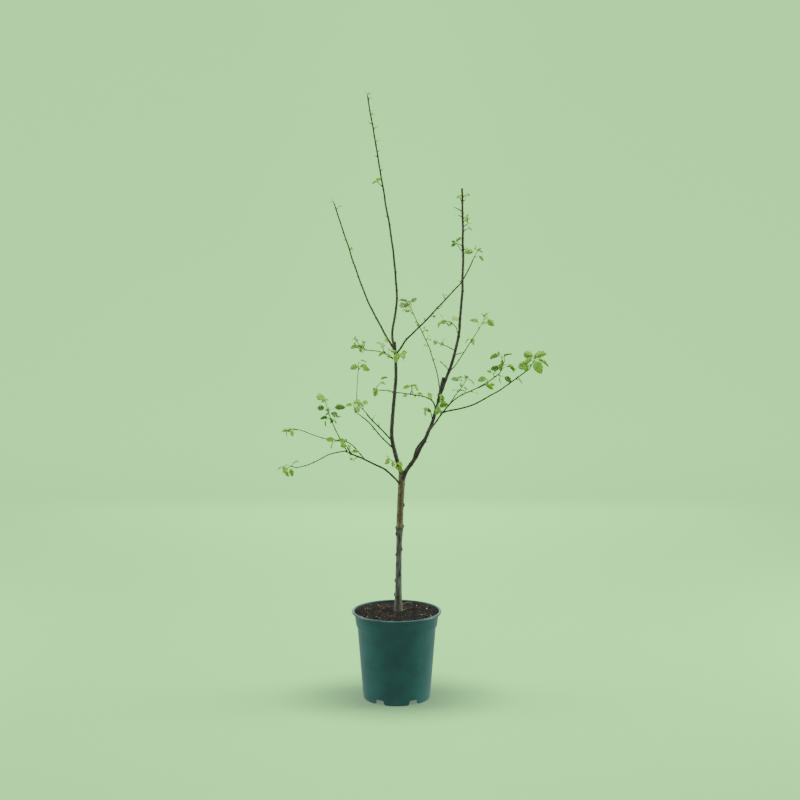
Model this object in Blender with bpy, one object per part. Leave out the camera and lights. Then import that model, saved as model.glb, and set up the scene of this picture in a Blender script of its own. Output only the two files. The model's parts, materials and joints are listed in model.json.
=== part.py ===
"""A young apple tree in a round nursery pot, 1.5 m tall, in early leaf.

The tree stands on its pot. Its trunk forks low down into a leader and a right limb, and
thin boughs and twigs leave both. Every limb is one tapering tube. Its foot is cut to the
shape of the limb that it springs from, and stays a hair clear of it. Every mass of leaves
is one solid: a stem, the spurs that a seeded rule puts on it, and their leaves.

Frame: metres, +Z up, +X to the right and +Y away, seen from the front. The origin is the
middle of the pot's underside. Tables hold millimetres, which is what mm() turns to metres.
"""

import math
import random
from collections import namedtuple

import bmesh
import bpy
from mathutils import Matrix, Vector

MM = 0.001
GAP = 0.3 * MM

POT_HEIGHT = 222.7
RIM_RADIUS = 112.5
RIM_DEPTH = 9.0
COLLAR_TOP_RADIUS = 105.0
MOUTH_RADIUS = 106.2
COLLAR_FOOT_RADIUS = 101.5
COLLAR_HEIGHT = 38.5
WALL_TOP_RADIUS = 98.2
WALL_FOOT_RADIUS = 84.0
WALL = 1.8
FOOT_HEIGHT = 13.0
FOOT_WIDTH = 3.0
PAD_RADIUS = 38.0
NOTCHES = 6
NOTCH_DEG = 17.0
POT_SEGMENTS = 48

COMPOST_EDGE = 216.0
COMPOST_CROWN = 219.5

TRUNK_X = 4.0
TRUNK_Y = 8.0
TRUNK_SIDES = 14
ROOTSTOCK_RADIUS = 7.3
SCION_RADIUS = 8.4
ROOT_FLARE = 5.0
ROOT_FLARE_HEIGHT = 36.0
GRAFT_HEIGHT = 205.0
GRAFT_BULGE = 1.3
GRAFT_LENGTH = 14.0

RING_SPACING = 24.0
KINK = 0.9
COLLAR_SWELL = 0.3

GOLDEN_ANGLE = math.radians(137.5)
SPUR_MM = 9.0
SPUR_RADIUS = 0.8
STALK_RADIUS = 0.55
TWIG_RADIUS = 1.1
STEM_SIDES = 4
STALK_SUNK = 0.4
LEAF_STEP = 1.5
BLADE_WIDTH = 0.72
BLADE_THICKNESS = 0.03
BLADE_FOLD = 0.3
BLADE_SAG = 0.25
BLADE_SIDE = ((0.26, 0.95), (0.68, 0.88))
LEAF_CLEARANCE = 1.2
MASS_CLEARANCE = 5.0

POT_GREEN = (0.028, 0.094, 0.078)
COMPOST_BROWN = (0.030, 0.020, 0.014)
OLD_BARK = (0.090, 0.080, 0.050)
YOUNG_BARK = (0.070, 0.062, 0.045)
LEAF_GREEN = (0.220, 0.360, 0.055)

# parent and at: the limb that it springs from, and where along it, from foot 0 to tip 1.
# course: the points that it grows through, in mm, the last one its tip.
# foot and tip: its diameters in mm.
Limb = namedtuple("Limb", "name parent at course foot tip sides")

LIMBS = (
    Limb("leader", "trunk", 1.0,
         ((1, 7, 602), (-8, 4, 637), (-12, 1, 675), (-9, -2, 730), (-2, -4, 820), (-5, -4, 900)),
         11.4, 7.4, 9),
    Limb("leader_top", "leader", 0.955,
         ((-11, 2, 921), (-4, 3, 963), (0, 6, 1020), (-10, 12, 1134), (-36, 17, 1290), (-71, 30, 1500)),
         6.6, 3.4, 6),
    Limb("left_top_bough", "leader", 0.93,
         ((-44, 20, 944), (-75, 45, 1005), (-99, 70, 1066), (-128, 93, 1153), (-157, 110, 1238)),
         5.4, 3.4, 6),
    Limb("crossing_bough", "leader", 0.90,
         ((28, 16, 908), (53, 34, 930), (116, 80, 992), (166, 114, 1045), (194, 136, 1098)),
         5.0, 3.2, 6),
    Limb("right_limb", "trunk", 0.965,
         ((26, 3, 580), (41, -4, 603), (68, -16, 655), (92, -28, 714), (108, -38, 782), (114, -42, 816)),
         11.4, 7.0, 9),
    Limb("right_limb_top", "right_limb", 0.83,
         ((121, -41, 815), (142, -44, 876), (155, -49, 962), (160, -54, 1090), (157, -60, 1274)),
         8.4, 5.0, 8),
    Limb("low_left_bough", "trunk", 0.92,
         ((-23, -20, 580), (-68, -46, 608), (-114, -74, 634), (-125, -82, 640)),
         5.4, 4.0, 6),
    Limb("low_left_twig", "low_left_bough", 1.0,
         ((-158, -106, 637), (-210, -150, 618), (-239, -172, 614)),
         3.0, 2.2, 5),
    Limb("rising_left_twig", "low_left_bough", 0.96,
         ((-136, -80, 666), (-148, -76, 690), (-158, -72, 714)),
         3.0, 2.4, 5),
    Limb("long_left_twig", "low_left_bough", 0.68,
         ((-96, -52, 635), (-120, -38, 656), (-178, -2, 659), (-234, 28, 674), (-258, 41, 677)),
         2.8, 2.0, 5),
    Limb("upper_left_twig", "leader", 0.26,
         ((-40, 16, 681), (-62, 30, 700), (-78, 44, 719)),
         4.0, 3.2, 5),
    Limb("inner_left_twig", "leader", 0.20,
         ((-44, -10, 671), (-72, -17, 706), (-88, -22, 718)),
         3.6, 2.8, 5),
    Limb("back_left_twig", "leader", 0.87,
         ((-31, 20, 869), (-54, 50, 872), (-76, 78, 872)),
         2.8, 2.2, 5),
    Limb("cross_twig", "right_limb", 0.69,
         ((89, -28, 758), (71, -18, 764), (47, -4, 767), (15, 14, 770), (-22, 34, 774), (-42, 46, 774)),
         3.4, 2.2, 5),
    Limb("back_right_twig", "right_limb", 0.86,
         ((99, -4, 826), (78, 34, 888), (62, 56, 922)),
         3.0, 2.2, 5),
    Limb("thin_right_twig", "right_limb_top", 0.125,
         ((144, -22, 844), (162, 0, 868), (184, 40, 896)),
         2.8, 2.2, 5),
    Limb("bare_twig", "right_limb_top", 0.135,
         ((104, -78, 860),),
         2.6, 1.6, 5),
    Limb("front_right_spur", "right_limb_top", 0.235,
         ((122, -88, 896),),
         2.8, 2.2, 5),
    Limb("back_spur", "right_limb_top", 0.30,
         ((146, -26, 936),),
         2.6, 2.2, 5),
    Limb("low_right_bough", "right_limb", 0.205,
         ((48, -26, 636), (62, -38, 657), (97, -62, 710), (128, -90, 756)),
         5.2, 3.6, 6),
    Limb("long_right_twig", "low_right_bough", 0.85,
         ((140, -94, 743), (191, -122, 762), (252, -152, 802), (312, -180, 850)),
         4.2, 2.8, 5),
    Limb("short_right_twig", "low_right_bough", 1.0,
         ((143, -96, 779), (154, -101, 794)),
         2.8, 2.2, 5),
    Limb("leafy_right_twig", "low_right_bough", 0.96,
         ((146, -84, 770), (168, -74, 782), (209, -60, 797), (234, -48, 813), (251, -42, 825)),
         3.2, 2.4, 5),
)

# limb and at: where the stem starts, as for a limb. course: the stem, in mm.
# spurs: for each spur, how far along the stem it sits and how many leaves it has.
# tip: how many leaves end the stem. leaf: the usual length of its blades in mm.
# seed: which of the rule's many growths this mass is.
Mass = namedtuple("Mass", "name limb at course spurs tip leaf seed")

MASSES = (
    Mass("low_left_leaves", "low_left_twig", 1.0,
         ((-253, -180, 618), (-260, -190, 615)), ((0.3, 2),), 4, 20, 4024),
    Mass("long_left_leaves", "long_left_twig", 1.0,
         ((-275, 48, 672),), (), 4, 19, 390),
    Mass("rising_left_leaves", "rising_left_twig", 1.0,
         ((-167, -66, 736), (-172, -62, 755)), ((0.05, 4), (0.5, 4)), 3, 24, 1933),
    Mass("bough_end_leaves", "low_left_bough", 0.88,
         ((-131, -98, 664), (-149, -106, 668)), ((0.4, 4), (0.6, 2)), 3, 19, 19),
    Mass("tall_left_leaves", "upper_left_twig", 1.0,
         ((-99, 76, 740), (-100, 86, 775), (-96, 96, 838)), ((0.08, 3), (0.22, 3), (0.86, 4)), 1, 20, 2700),
    Mass("inner_left_leaves", "inner_left_twig", 1.0,
         ((-102, -30, 732), (-105, -32, 744)), (), 3, 17, 1357),
    Mass("cross_twig_leaves", "cross_twig", 1.0,
         ((-52, 58, 776), (-43, 62, 788)), ((0.4, 2),), 3, 19, 1173),
    Mass("back_left_leaves", "back_left_twig", 1.0,
         ((-89, 90, 878), (-102, 100, 893)), ((0.15, 3), (0.5, 3)), 3, 20, 5820),
    Mass("leader_left_leaves", "leader", 0.86,
         ((-28, -18, 873), (-35, -24, 896)), ((0.4, 3),), 3, 22, 745),
    Mass("leader_right_leaves", "leader", 0.87,
         ((6, -18, 866), (12, -26, 874)), ((0.5, 2),), 3, 23, 5350),
    Mass("crossing_middle_leaves", "crossing_bough", 0.60,
         ((117, 88, 1010),), (), 3, 10, 2746),
    Mass("crossing_leaves", "crossing_bough", 1.0,
         ((202, 150, 1112),), ((0.2, 1),), 4, 19, 238),
    Mass("front_right_leaves", "front_right_spur", 1.0,
         ((104, -108, 904), (97, -112, 908)), ((0.4, 2),), 4, 13, 3239),
    Mass("back_right_leaves", "back_right_twig", 1.0,
         ((41, 78, 965), (32, 88, 987)), ((0.2, 2), (0.6, 3)), 5, 21, 1320),
    Mass("back_spur_leaves", "back_spur", 1.0,
         ((130, -6, 950), (114, 6, 948)), ((0.3, 3),), 3, 22, 1039),
    Mass("thin_right_leaves", "thin_right_twig", 1.0,
         ((206, 80, 924), (222, 104, 949)), ((0.1, 2), (0.55, 3)), 4, 22, 858),
    Mass("long_right_leaves", "long_right_twig", 1.0,
         ((324, -190, 871),), ((0.3, 3),), 5, 29, 3056),
    Mass("short_right_leaves", "short_right_twig", 1.0,
         ((160, -106, 804), (167, -110, 817)), ((0.25, 3),), 4, 18, 4311),
    Mass("leafy_right_leaves", "leafy_right_twig", 1.0,
         ((259, -36, 846), (257, -30, 866)), ((0.2, 3), (0.5, 3)), 4, 24, 6830),
    Mass("leafy_right_low_leaves", "leafy_right_twig", 0.56,
         ((217, -68, 806), (222, -72, 812)), ((0.5, 3),), 4, 19, 1831),
    Mass("middle_twig_leaves", "cross_twig", 0.52,
         ((36, 0, 777), (38, -4, 790)), ((0.4, 3),), 4, 20, 1802),
    Mass("cross_foot_leaves", "cross_twig", 0.10,
         ((80, -42, 776),), (), 2, 22, 2894),
    Mass("right_limb_front_leaves", "right_limb", 0.66,
         ((100, -50, 750), (105, -58, 756)), ((0.4, 2),), 3, 23, 5566),
    Mass("right_limb_left_leaves", "right_limb", 0.60,
         ((83, -34, 731), (74, -40, 736)), ((0.4, 2),), 3, 17, 2232),
    Mass("fork_leaves", "leader", 0.07,
         ((-9, -16, 604), (-15, -24, 608)), ((0.4, 4),), 5, 16, 2711),
    Mass("right_top_low_leaves", "right_limb_top", 0.70,
         ((142, -64, 1144),), (), 3, 13, 1386),
    Mass("right_top_side_leaves", "right_limb_top", 0.69,
         ((170, -50, 1124),), (), 2, 18, 1785),
    Mass("right_top_outer_leaves", "right_limb_top", 0.80,
         ((173, -54, 1178),), (), 2, 13, 5895),
    Mass("right_top_middle_leaves", "right_limb_top", 0.84,
         ((168, -66, 1201),), (), 4, 15, 5135),
    Mass("right_top_upper_leaves", "right_limb_top", 0.93,
         ((151, -68, 1252),), (), 3, 11, 5117),
    Mass("left_top_leaves", "left_top_bough", 1.0,
         ((-160, 112, 1243),), (), 4, 10, 2),
    Mass("leader_top_leaves", "leader_top", 0.635,
         ((-47, 12, 1290),), (), 4, 15, 996),
)


def mm(point):
    """A point given in mm, in metres."""
    return Vector(point) * MM


def clear_scene():
    for thing in list(bpy.data.objects):
        bpy.data.objects.remove(thing, do_unlink=True)


def plain_material(name, colour, roughness):
    material = bpy.data.materials.new(name)
    material.use_nodes = True
    shader = material.node_tree.nodes["Principled BSDF"]
    shader.inputs["Base Color"].default_value = (*colour, 1.0)
    shader.inputs["Roughness"].default_value = roughness
    shader.inputs["Metallic"].default_value = 0.0
    return material


def object_from(name, bm, material=None):
    """A linked object with the bmesh's shape, its faces pointing out."""
    bmesh.ops.recalc_face_normals(bm, faces=bm.faces)
    mesh = bpy.data.meshes.new(name)
    bm.to_mesh(mesh)
    bm.free()
    if material is not None:
        mesh.materials.append(material)
    thing = bpy.data.objects.new(name, mesh)
    bpy.context.scene.collection.objects.link(thing)
    return thing


def apply_boolean(thing, operation, other, solver="EXACT"):
    """Joins or cuts thing with another object or a collection, which is then removed."""
    modifier = thing.modifiers.new(operation.lower(), "BOOLEAN")
    modifier.operation = operation
    modifier.solver = solver
    if isinstance(other, bpy.types.Collection):
        modifier.operand_type = "COLLECTION"
        modifier.collection = other
        spent = list(other.objects)
    else:
        modifier.object = other
        spent = [other]
    graph = bpy.context.evaluated_depsgraph_get()
    graph.update()
    shaped = bpy.data.meshes.new_from_object(thing.evaluated_get(graph))
    thing.modifiers.clear()
    thing.data = shaped
    for used in spent:
        bpy.data.objects.remove(used, do_unlink=True)
    if isinstance(other, bpy.types.Collection):
        bpy.data.collections.remove(other)


def keep_largest_body(thing):
    """Drops the scraps that a cut leaves loose from the main body."""
    bm = bmesh.new()
    bm.from_mesh(thing.data)
    unseen = set(bm.verts)
    bodies = []
    while unseen:
        queue = [unseen.pop()]
        body = list(queue)
        while queue:
            for edge in queue.pop().link_edges:
                for vert in edge.verts:
                    if vert in unseen:
                        unseen.remove(vert)
                        body.append(vert)
                        queue.append(vert)
        bodies.append(body)
    bodies.sort(key=len)
    for scrap in bodies[:-1]:
        bmesh.ops.delete(bm, geom=scrap, context="VERTS")
    bm.to_mesh(thing.data)
    bm.free()


def turned(name, profile, segments, material=None):
    """A solid turned about the Z axis from (radius, height) points in mm, a closed outline."""
    bm = bmesh.new()
    columns = []
    for k in range(segments):
        angle = 2 * math.pi * k / segments
        columns.append([
            bm.verts.new(mm((r * math.cos(angle), r * math.sin(angle), z))) if r > 0 else None
            for r, z in profile
        ])
    axis = [bm.verts.new(mm((0, 0, z))) if r == 0 else None for r, z in profile]
    for k in range(segments):
        here, beside = columns[k], columns[(k + 1) % segments]
        for i in range(len(profile)):
            j = (i + 1) % len(profile)
            corners = [here[i] or axis[i], beside[i] or axis[i], beside[j] or axis[j], here[j] or axis[j]]
            corners = list(dict.fromkeys(corners))
            if len(corners) > 2:
                bm.faces.new(corners)
    return object_from(name, bm, material)


def smooth_course(points, spacing, before=None):
    """Evenly spaced points on a smooth curve through the given ones."""
    before = before or points[0] * 2 - points[1]
    ends = [before, *points, points[-1] * 2 - points[-2]]
    fine = [points[0]]
    for a, b, c, d in zip(ends, ends[1:], ends[2:], ends[3:]):
        for k in range(1, 17):
            t = k / 16
            fine.append(0.5 * (2 * b + (c - a) * t + (2 * a - 5 * b + 4 * c - d) * t ** 2
                               + (3 * b - a - 3 * c + d) * t ** 3))
    lengths = [0.0]
    for p, q in zip(fine, fine[1:]):
        lengths.append(lengths[-1] + (q - p).length)
    pieces = max(2, round(lengths[-1] / spacing))
    course, i = [], 0
    for k in range(pieces + 1):
        wanted = lengths[-1] * k / pieces
        while i < len(fine) - 2 and lengths[i + 1] < wanted:
            i += 1
        share = (wanted - lengths[i]) / max(lengths[i + 1] - lengths[i], 1e-9)
        course.append(fine[i].lerp(fine[i + 1], min(share, 1.0)))
    return course


def place_on(line, share):
    """The point and the direction at a share of a line's length, from 0 to 1."""
    lengths = [(q - p).length for p, q in zip(line, line[1:])]
    wanted = sum(lengths) * share
    for p, q, length in zip(line, line[1:], lengths):
        if wanted <= length:
            return p.lerp(q, wanted / length), (q - p).normalized()
        wanted -= length
    return line[-1].copy(), (line[-1] - line[-2]).normalized()


def kinked(line, amount, rng):
    """The line with a slight bend at each inner point, as a shoot has at its buds."""
    bent = [line[0]]
    for before, point, after in zip(line, line[1:], line[2:]):
        across = (after - before).normalized().cross(Vector((rng.uniform(-1, 1), rng.uniform(-1, 1), 0.3)))
        bent.append(point + across.normalized() * amount * rng.uniform(0.3, 1.0))
    bent.append(line[-1])
    return bent


# line and radii: the middle line and the radius at each of its points, in metres.
# foot: the direction that its first ring faces, where that isn't the line's own.
Shape = namedtuple("Shape", "line radii sides foot")


def ring_directions(line):
    """For each point of the line, its direction and two directions across it that don't twist."""
    frames = []
    side = None
    for i in range(len(line)):
        ahead = (line[min(i + 1, len(line) - 1)] - line[max(i - 1, 0)]).normalized()
        if side is None:
            side = ahead.cross(Vector((0, 1, 0)) if abs(ahead.y) < 0.9 else Vector((1, 0, 0)))
        side = (side - ahead * side.dot(ahead)).normalized()
        frames.append((ahead, side, ahead.cross(side)))
    return frames


def tube(name, shape, material=None):
    """A closed tube round the shape's line, with a flat cut at both ends."""
    bm = bmesh.new()
    rings = []
    for point, radius, (_, side, up) in zip(shape.line, shape.radii, ring_directions(shape.line)):
        if not rings and shape.foot is not None:
            side = (side - shape.foot * side.dot(shape.foot)).normalized()
            up = shape.foot.cross(side)
        rings.append([
            bm.verts.new(point + (side * math.cos(a) + up * math.sin(a)) * radius)
            for a in (2 * math.pi * k / shape.sides for k in range(shape.sides))
        ])
    for low, high in zip(rings, rings[1:]):
        for k in range(shape.sides):
            j = (k + 1) % shape.sides
            bm.faces.new((low[k], low[j], high[j], high[k]))
    bm.faces.new(rings[0])
    bm.faces.new(rings[-1])
    return object_from(name, bm, material)


def trunk_radius(height):
    """The trunk's radius in mm at a height above the compost: flare, rootstock, graft, scion."""
    past_graft = 1 / (1 + math.exp(-(height - GRAFT_HEIGHT) / 4))
    stem = ROOTSTOCK_RADIUS + (SCION_RADIUS - ROOTSTOCK_RADIUS) * past_graft
    flare = ROOT_FLARE * math.exp(-height / ROOT_FLARE_HEIGHT)
    bulge = GRAFT_BULGE * math.exp(-((height - GRAFT_HEIGHT) / GRAFT_LENGTH) ** 2)
    return stem + flare + bulge


def trunk_shape():
    """The trunk, from its flat cut on the compost to the fork."""
    ground = COMPOST_CROWN + GAP / MM
    course = [(TRUNK_X, TRUNK_Y, ground), (5, 8, 330), (8, 8, 455), (13, 8, 566)]
    line = smooth_course([mm(p) for p in course], RING_SPACING * 0.6 * MM)
    ground_point = line[0].z
    radii = [trunk_radius((p.z - ground_point) / MM) * MM for p in line]
    radii[-1] *= 0.86
    return Shape(line, radii, TRUNK_SIDES, Vector((0, 0, 1)))


def limb_shape(limb, shapes):
    """A limb, which starts on its parent's own line or grows on from its tip."""
    parent = shapes[limb.parent]
    start, ahead = place_on(parent.line, limb.at)
    points = [mm(p) for p in limb.course]
    rng = random.Random(limb.name)
    if limb.at == 1.0:
        start = start + ahead * GAP
        line = smooth_course([start, *points], RING_SPACING * MM, before=start - ahead * 10 * MM)
    else:
        line = smooth_course([start, *points], RING_SPACING * MM)
    line = kinked(line, KINK * MM, rng)
    last = len(line) - 1
    radii = [(limb.foot + (limb.tip - limb.foot) * (i / last) ** 0.8) / 2 * MM for i in range(len(line))]
    if limb.at == 1.0:
        radii[0] = min(radii[0], parent.radii[-1])
        return Shape(line, radii, limb.sides, ahead)
    radii[0] *= 1 + COLLAR_SWELL
    return Shape(line, radii, limb.sides, None)


def sleeve(shape):
    """A cutter a gap wider and longer than a limb, which leaves what springs from it clear."""
    line = list(shape.line)
    line[0] = line[0] - (shape.foot or line[1] - line[0]).normalized() * GAP
    line[-1] = line[-1] + (line[-1] - line[-2]).normalized() * GAP
    wider = GAP / math.cos(math.pi / shape.sides)
    return tube("sleeve", Shape(line, [r + wider for r in shape.radii], shape.sides, shape.foot))


def segment_distance(point, a, b):
    along = b - a
    share = max(0.0, min(1.0, (point - a).dot(along) / along.length_squared))
    return (point - a - along * share).length


def near_limb(points, shape, margin):
    """Whether any of the points comes within the margin of the limb's surface."""
    for p, q, r in zip(shape.line, shape.line[1:], shape.radii):
        middle, reach = (p + q) / 2, (q - p).length / 2 + r + margin
        for point in points:
            if (point - middle).length < reach and segment_distance(point, p, q) < r + margin:
                return True
    return False


def cut_clear(thing, own, shapes, grows_on):
    """Cuts a limb or a stem clear of every limb that it runs into, but for the one it grows on."""
    fine = smooth_course(own.line, 3 * MM)
    for name, shape in shapes.items():
        if name != grows_on and near_limb(fine, shape, max(own.radii) + GAP):
            apply_boolean(thing, "DIFFERENCE", sleeve(shape))
    keep_largest_body(thing)


def clear_of_limbs(points, shapes):
    return not any(near_limb(points, shape, LEAF_CLEARANCE * MM) for shape in shapes.values())


def has_room(leaf, shapes, taken):
    """Whether a leaf keeps clear of the limbs and of the other masses' leaves."""
    outline = blade_outline(leaf)
    foot = blade_point(leaf, 0.0, 0.0)
    stalk = [leaf.root.lerp(foot, part) for part in (0.25, 0.5, 0.75, 1.0)]
    inner = [blade_point(leaf, share / 8, side) for share in range(1, 8) for side in (-0.5, 0.0, 0.5)]
    if not clear_of_limbs([*outline, *inner, *stalk], shapes):
        return False
    return all((p - q).length > MASS_CLEARANCE * MM for p in outline for q in taken)


# root: where its stalk leaves the twig. out: the stalk's direction. along and up: the
# blade's directions. length and stalk: of the blade and of the stalk, in metres.
Leaf = namedtuple("Leaf", "root out along up length stalk")


def leaves_round(rng, root, axis, count, length, turn):
    """A rosette: leaves in golden-angle steps round the axis, each with its own lean, droop and roll."""
    side = axis.orthogonal().normalized()
    found = []
    for k in range(count):
        spin = Matrix.Rotation(turn + k * GOLDEN_ANGLE + rng.uniform(-0.5, 0.5), 3, axis)
        lean = rng.uniform(0.3, 1.6)
        out = axis * math.cos(lean) + (spin @ side) * math.sin(lean)
        out = (out + Vector((0, 0, 0.3))).normalized()
        level = out.cross(Vector((0, 0, 1)))
        level = level.normalized() if level.length > 0.1 else Vector((1, 0, 0))
        along = Matrix.Rotation(-rng.uniform(0.1, 1.1), 3, level) @ out
        roll = Matrix.Rotation(rng.uniform(-1.4, 1.4), 3, along)
        size = length * rng.uniform(0.6, 1.2)
        node = root - axis * LEAF_STEP * MM * k
        found.append(Leaf(node, out, along, roll @ level.cross(along), size, size * rng.uniform(0.2, 0.7)))
    return found


def grow(mass, shapes, taken):
    """The stem's line, the spurs as pairs of points, and the leaves of a mass, by its seed."""
    rng = random.Random(mass.seed)
    start, ahead = place_on(shapes[mass.limb].line, mass.at)
    points = [mm(p) for p in mass.course]
    if mass.at == 1.0:
        start = start + ahead * GAP
        line = smooth_course([start, *points], 12 * MM, before=start - ahead * 5 * MM)
    else:
        line = smooth_course([start, *points], 6 * MM)
    turn = rng.uniform(0, 2 * math.pi)
    spurs, leaves = [], []
    for k, (share, count) in enumerate(mass.spurs):
        root, heading = place_on(line, share)
        spin = Matrix.Rotation(turn + k * GOLDEN_ANGLE, 3, heading)
        out = (heading * 0.7 + (spin @ heading.orthogonal().normalized()) * 0.7).normalized()
        end = root + out * SPUR_MM * MM * rng.uniform(0.5, 1.6)
        rosette = leaves_round(rng, end, out, count, mass.leaf * MM, rng.uniform(0, 2 * math.pi))
        if clear_of_limbs([root.lerp(end, part) for part in (0.5, 0.75, 1.0)], shapes):
            spurs.append((root, end))
            leaves += rosette
    tip, heading = place_on(line, 1.0)
    leaves += leaves_round(rng, tip, heading, mass.tip, mass.leaf * MM, turn)
    kept = [leaf for leaf in leaves if has_room(leaf, shapes, taken)]
    taken += [point for leaf in kept for point in blade_outline(leaf)]
    return line, spurs, kept


def blade_point(leaf, share, side, lift=0.0):
    """A point of the folded, drooping blade, at a share of its length and of its half width."""
    across = leaf.along.cross(leaf.up)
    half = leaf.length * BLADE_WIDTH / 2
    base = leaf.root + leaf.out * leaf.stalk
    rise = BLADE_FOLD * half * abs(side) - BLADE_SAG * leaf.length * share ** 2
    return base + leaf.along * leaf.length * share + across * half * side + leaf.up * (rise + lift)


def blade_outline(leaf):
    """The blade's outline from its left shoulder round the tip to its right shoulder."""
    left = [blade_point(leaf, share, -side) for share, side in BLADE_SIDE]
    right = [blade_point(leaf, share, side) for share, side in reversed(BLADE_SIDE)]
    return [*left, blade_point(leaf, 1.0, 0.0), *right]


def leaf_solid(leaf):
    """A three-sided stalk that opens into a thin blade, as one closed solid."""
    bm = bmesh.new()
    across = leaf.along.cross(leaf.up)
    radius = STALK_RADIUS * MM
    corners = [-across, across, -leaf.up]
    rings = []
    for end in (leaf.root - leaf.out * STALK_SUNK * MM, leaf.root + leaf.out * leaf.stalk):
        rings.append([bm.verts.new(end + corner * radius) for corner in corners])
    foot, neck = rings
    bm.faces.new(foot)
    for k in range(3):
        j = (k + 1) % 3
        bm.faces.new((foot[k], foot[j], neck[j], neck[k]))
    rim = [neck[0], *(bm.verts.new(p) for p in blade_outline(leaf)), neck[1]]
    half = leaf.length * BLADE_THICKNESS / 2
    above = bm.verts.new(blade_point(leaf, 0.5, 0.0, half))
    below = bm.verts.new(blade_point(leaf, 0.5, 0.0, -half))
    for loop, centre in ((rim, above), ([*rim, neck[2]], below)):
        for k in range(len(loop)):
            bm.faces.new((loop[k], loop[(k + 1) % len(loop)], centre))
    return object_from("leaf", bm)


def make_mass(mass, shapes, taken, material):
    """One closed solid: the stem, its spurs and its leaves fused, its foot clear of its limb."""
    line, spurs, leaves = grow(mass, shapes, taken)
    parent = shapes[mass.limb]
    grows_on = mass.limb if mass.at == 1.0 else None
    foot_radius = min(parent.radii[-1] / MM, TWIG_RADIUS)
    last = len(line) - 1
    radii = [(foot_radius + (SPUR_RADIUS - foot_radius) * i / last) * MM for i in range(len(line))]
    own = Shape(line, radii, STEM_SIDES, place_on(parent.line, 1.0)[1] if grows_on else None)
    stem = tube(mass.name, own, material)
    fused = bpy.data.collections.new("fused")
    bpy.context.scene.collection.children.link(fused)
    parts = [leaf_solid(leaf) for leaf in leaves]
    for root, end in spurs:
        past = end + (end - root).normalized() * 0.5 * MM
        parts.append(tube("spur", Shape([root, past], [SPUR_RADIUS * MM] * 2, 3, None)))
    for part in parts:
        bpy.context.scene.collection.objects.unlink(part)
        fused.objects.link(part)
    apply_boolean(stem, "UNION", fused)
    cut_clear(stem, own, shapes, grows_on)


def pot_profile():
    """The pot's closed outline in mm: outside from the lip down, then inside from the middle up."""
    collar_foot = POT_HEIGHT - COLLAR_HEIGHT
    lip_foot = POT_HEIGHT - RIM_DEPTH
    step_foot = collar_foot - 3.5
    outside = [
        (RIM_RADIUS - 1.4, POT_HEIGHT),
        (RIM_RADIUS, POT_HEIGHT - 1.6),
        (RIM_RADIUS - 0.4, lip_foot),
        (COLLAR_TOP_RADIUS + 0.8, lip_foot),
        (COLLAR_TOP_RADIUS, lip_foot - 1.2),
        (COLLAR_FOOT_RADIUS, collar_foot),
        (WALL_TOP_RADIUS, step_foot),
        (WALL_FOOT_RADIUS + 0.8, 6.0),
        (WALL_FOOT_RADIUS - 0.5, 0.0),
    ]
    underside = [
        (WALL_FOOT_RADIUS - FOOT_WIDTH, 0.0),
        (WALL_FOOT_RADIUS - FOOT_WIDTH + 0.6, FOOT_HEIGHT),
        (PAD_RADIUS + 2.0, FOOT_HEIGHT),
        (PAD_RADIUS, 0.0),
        (0, 0.0),
    ]
    inside = [
        (0, 2.4),
        (PAD_RADIUS - 2.2, 2.4),
        (PAD_RADIUS, FOOT_HEIGHT + 2.4),
        (WALL_FOOT_RADIUS - WALL, FOOT_HEIGHT + 2.4),
        (WALL_TOP_RADIUS - WALL, step_foot + 1.0),
        (COLLAR_FOOT_RADIUS - WALL, collar_foot + 1.0),
        (COLLAR_TOP_RADIUS - WALL, lip_foot - 2.0),
        (MOUTH_RADIUS, POT_HEIGHT - 1.2),
        (MOUTH_RADIUS + 1.2, POT_HEIGHT),
    ]
    return outside + underside + inside


def notch_cutter():
    """Wedges that open the foot ring between its feet, joined in one mesh."""
    bm = bmesh.new()
    inner, outer = WALL_FOOT_RADIUS - 8.0, WALL_FOOT_RADIUS + 8.0
    for k in range(NOTCHES):
        middle = -math.pi / 2 + math.pi / NOTCHES + 2 * math.pi * k / NOTCHES
        half = math.radians(NOTCH_DEG) / 2
        corners = []
        for z, narrow in ((-5.0, 1.0), (FOOT_HEIGHT - 0.6, 0.86)):
            for angle, r in ((-half, inner), (half, inner), (half, outer), (-half, outer)):
                a = middle + angle * narrow
                corners.append(bm.verts.new(mm((r * math.cos(a), r * math.sin(a), z))))
        low, high = corners[:4], corners[4:]
        bm.faces.new(low)
        bm.faces.new(high)
        for i in range(4):
            j = (i + 1) % 4
            bm.faces.new((low[i], low[j], high[j], high[i]))
    return object_from("notches", bm)


def make_pot(material):
    pot = turned("pot", pot_profile(), POT_SEGMENTS, material)
    apply_boolean(pot, "DIFFERENCE", notch_cutter())
    return pot


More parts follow.
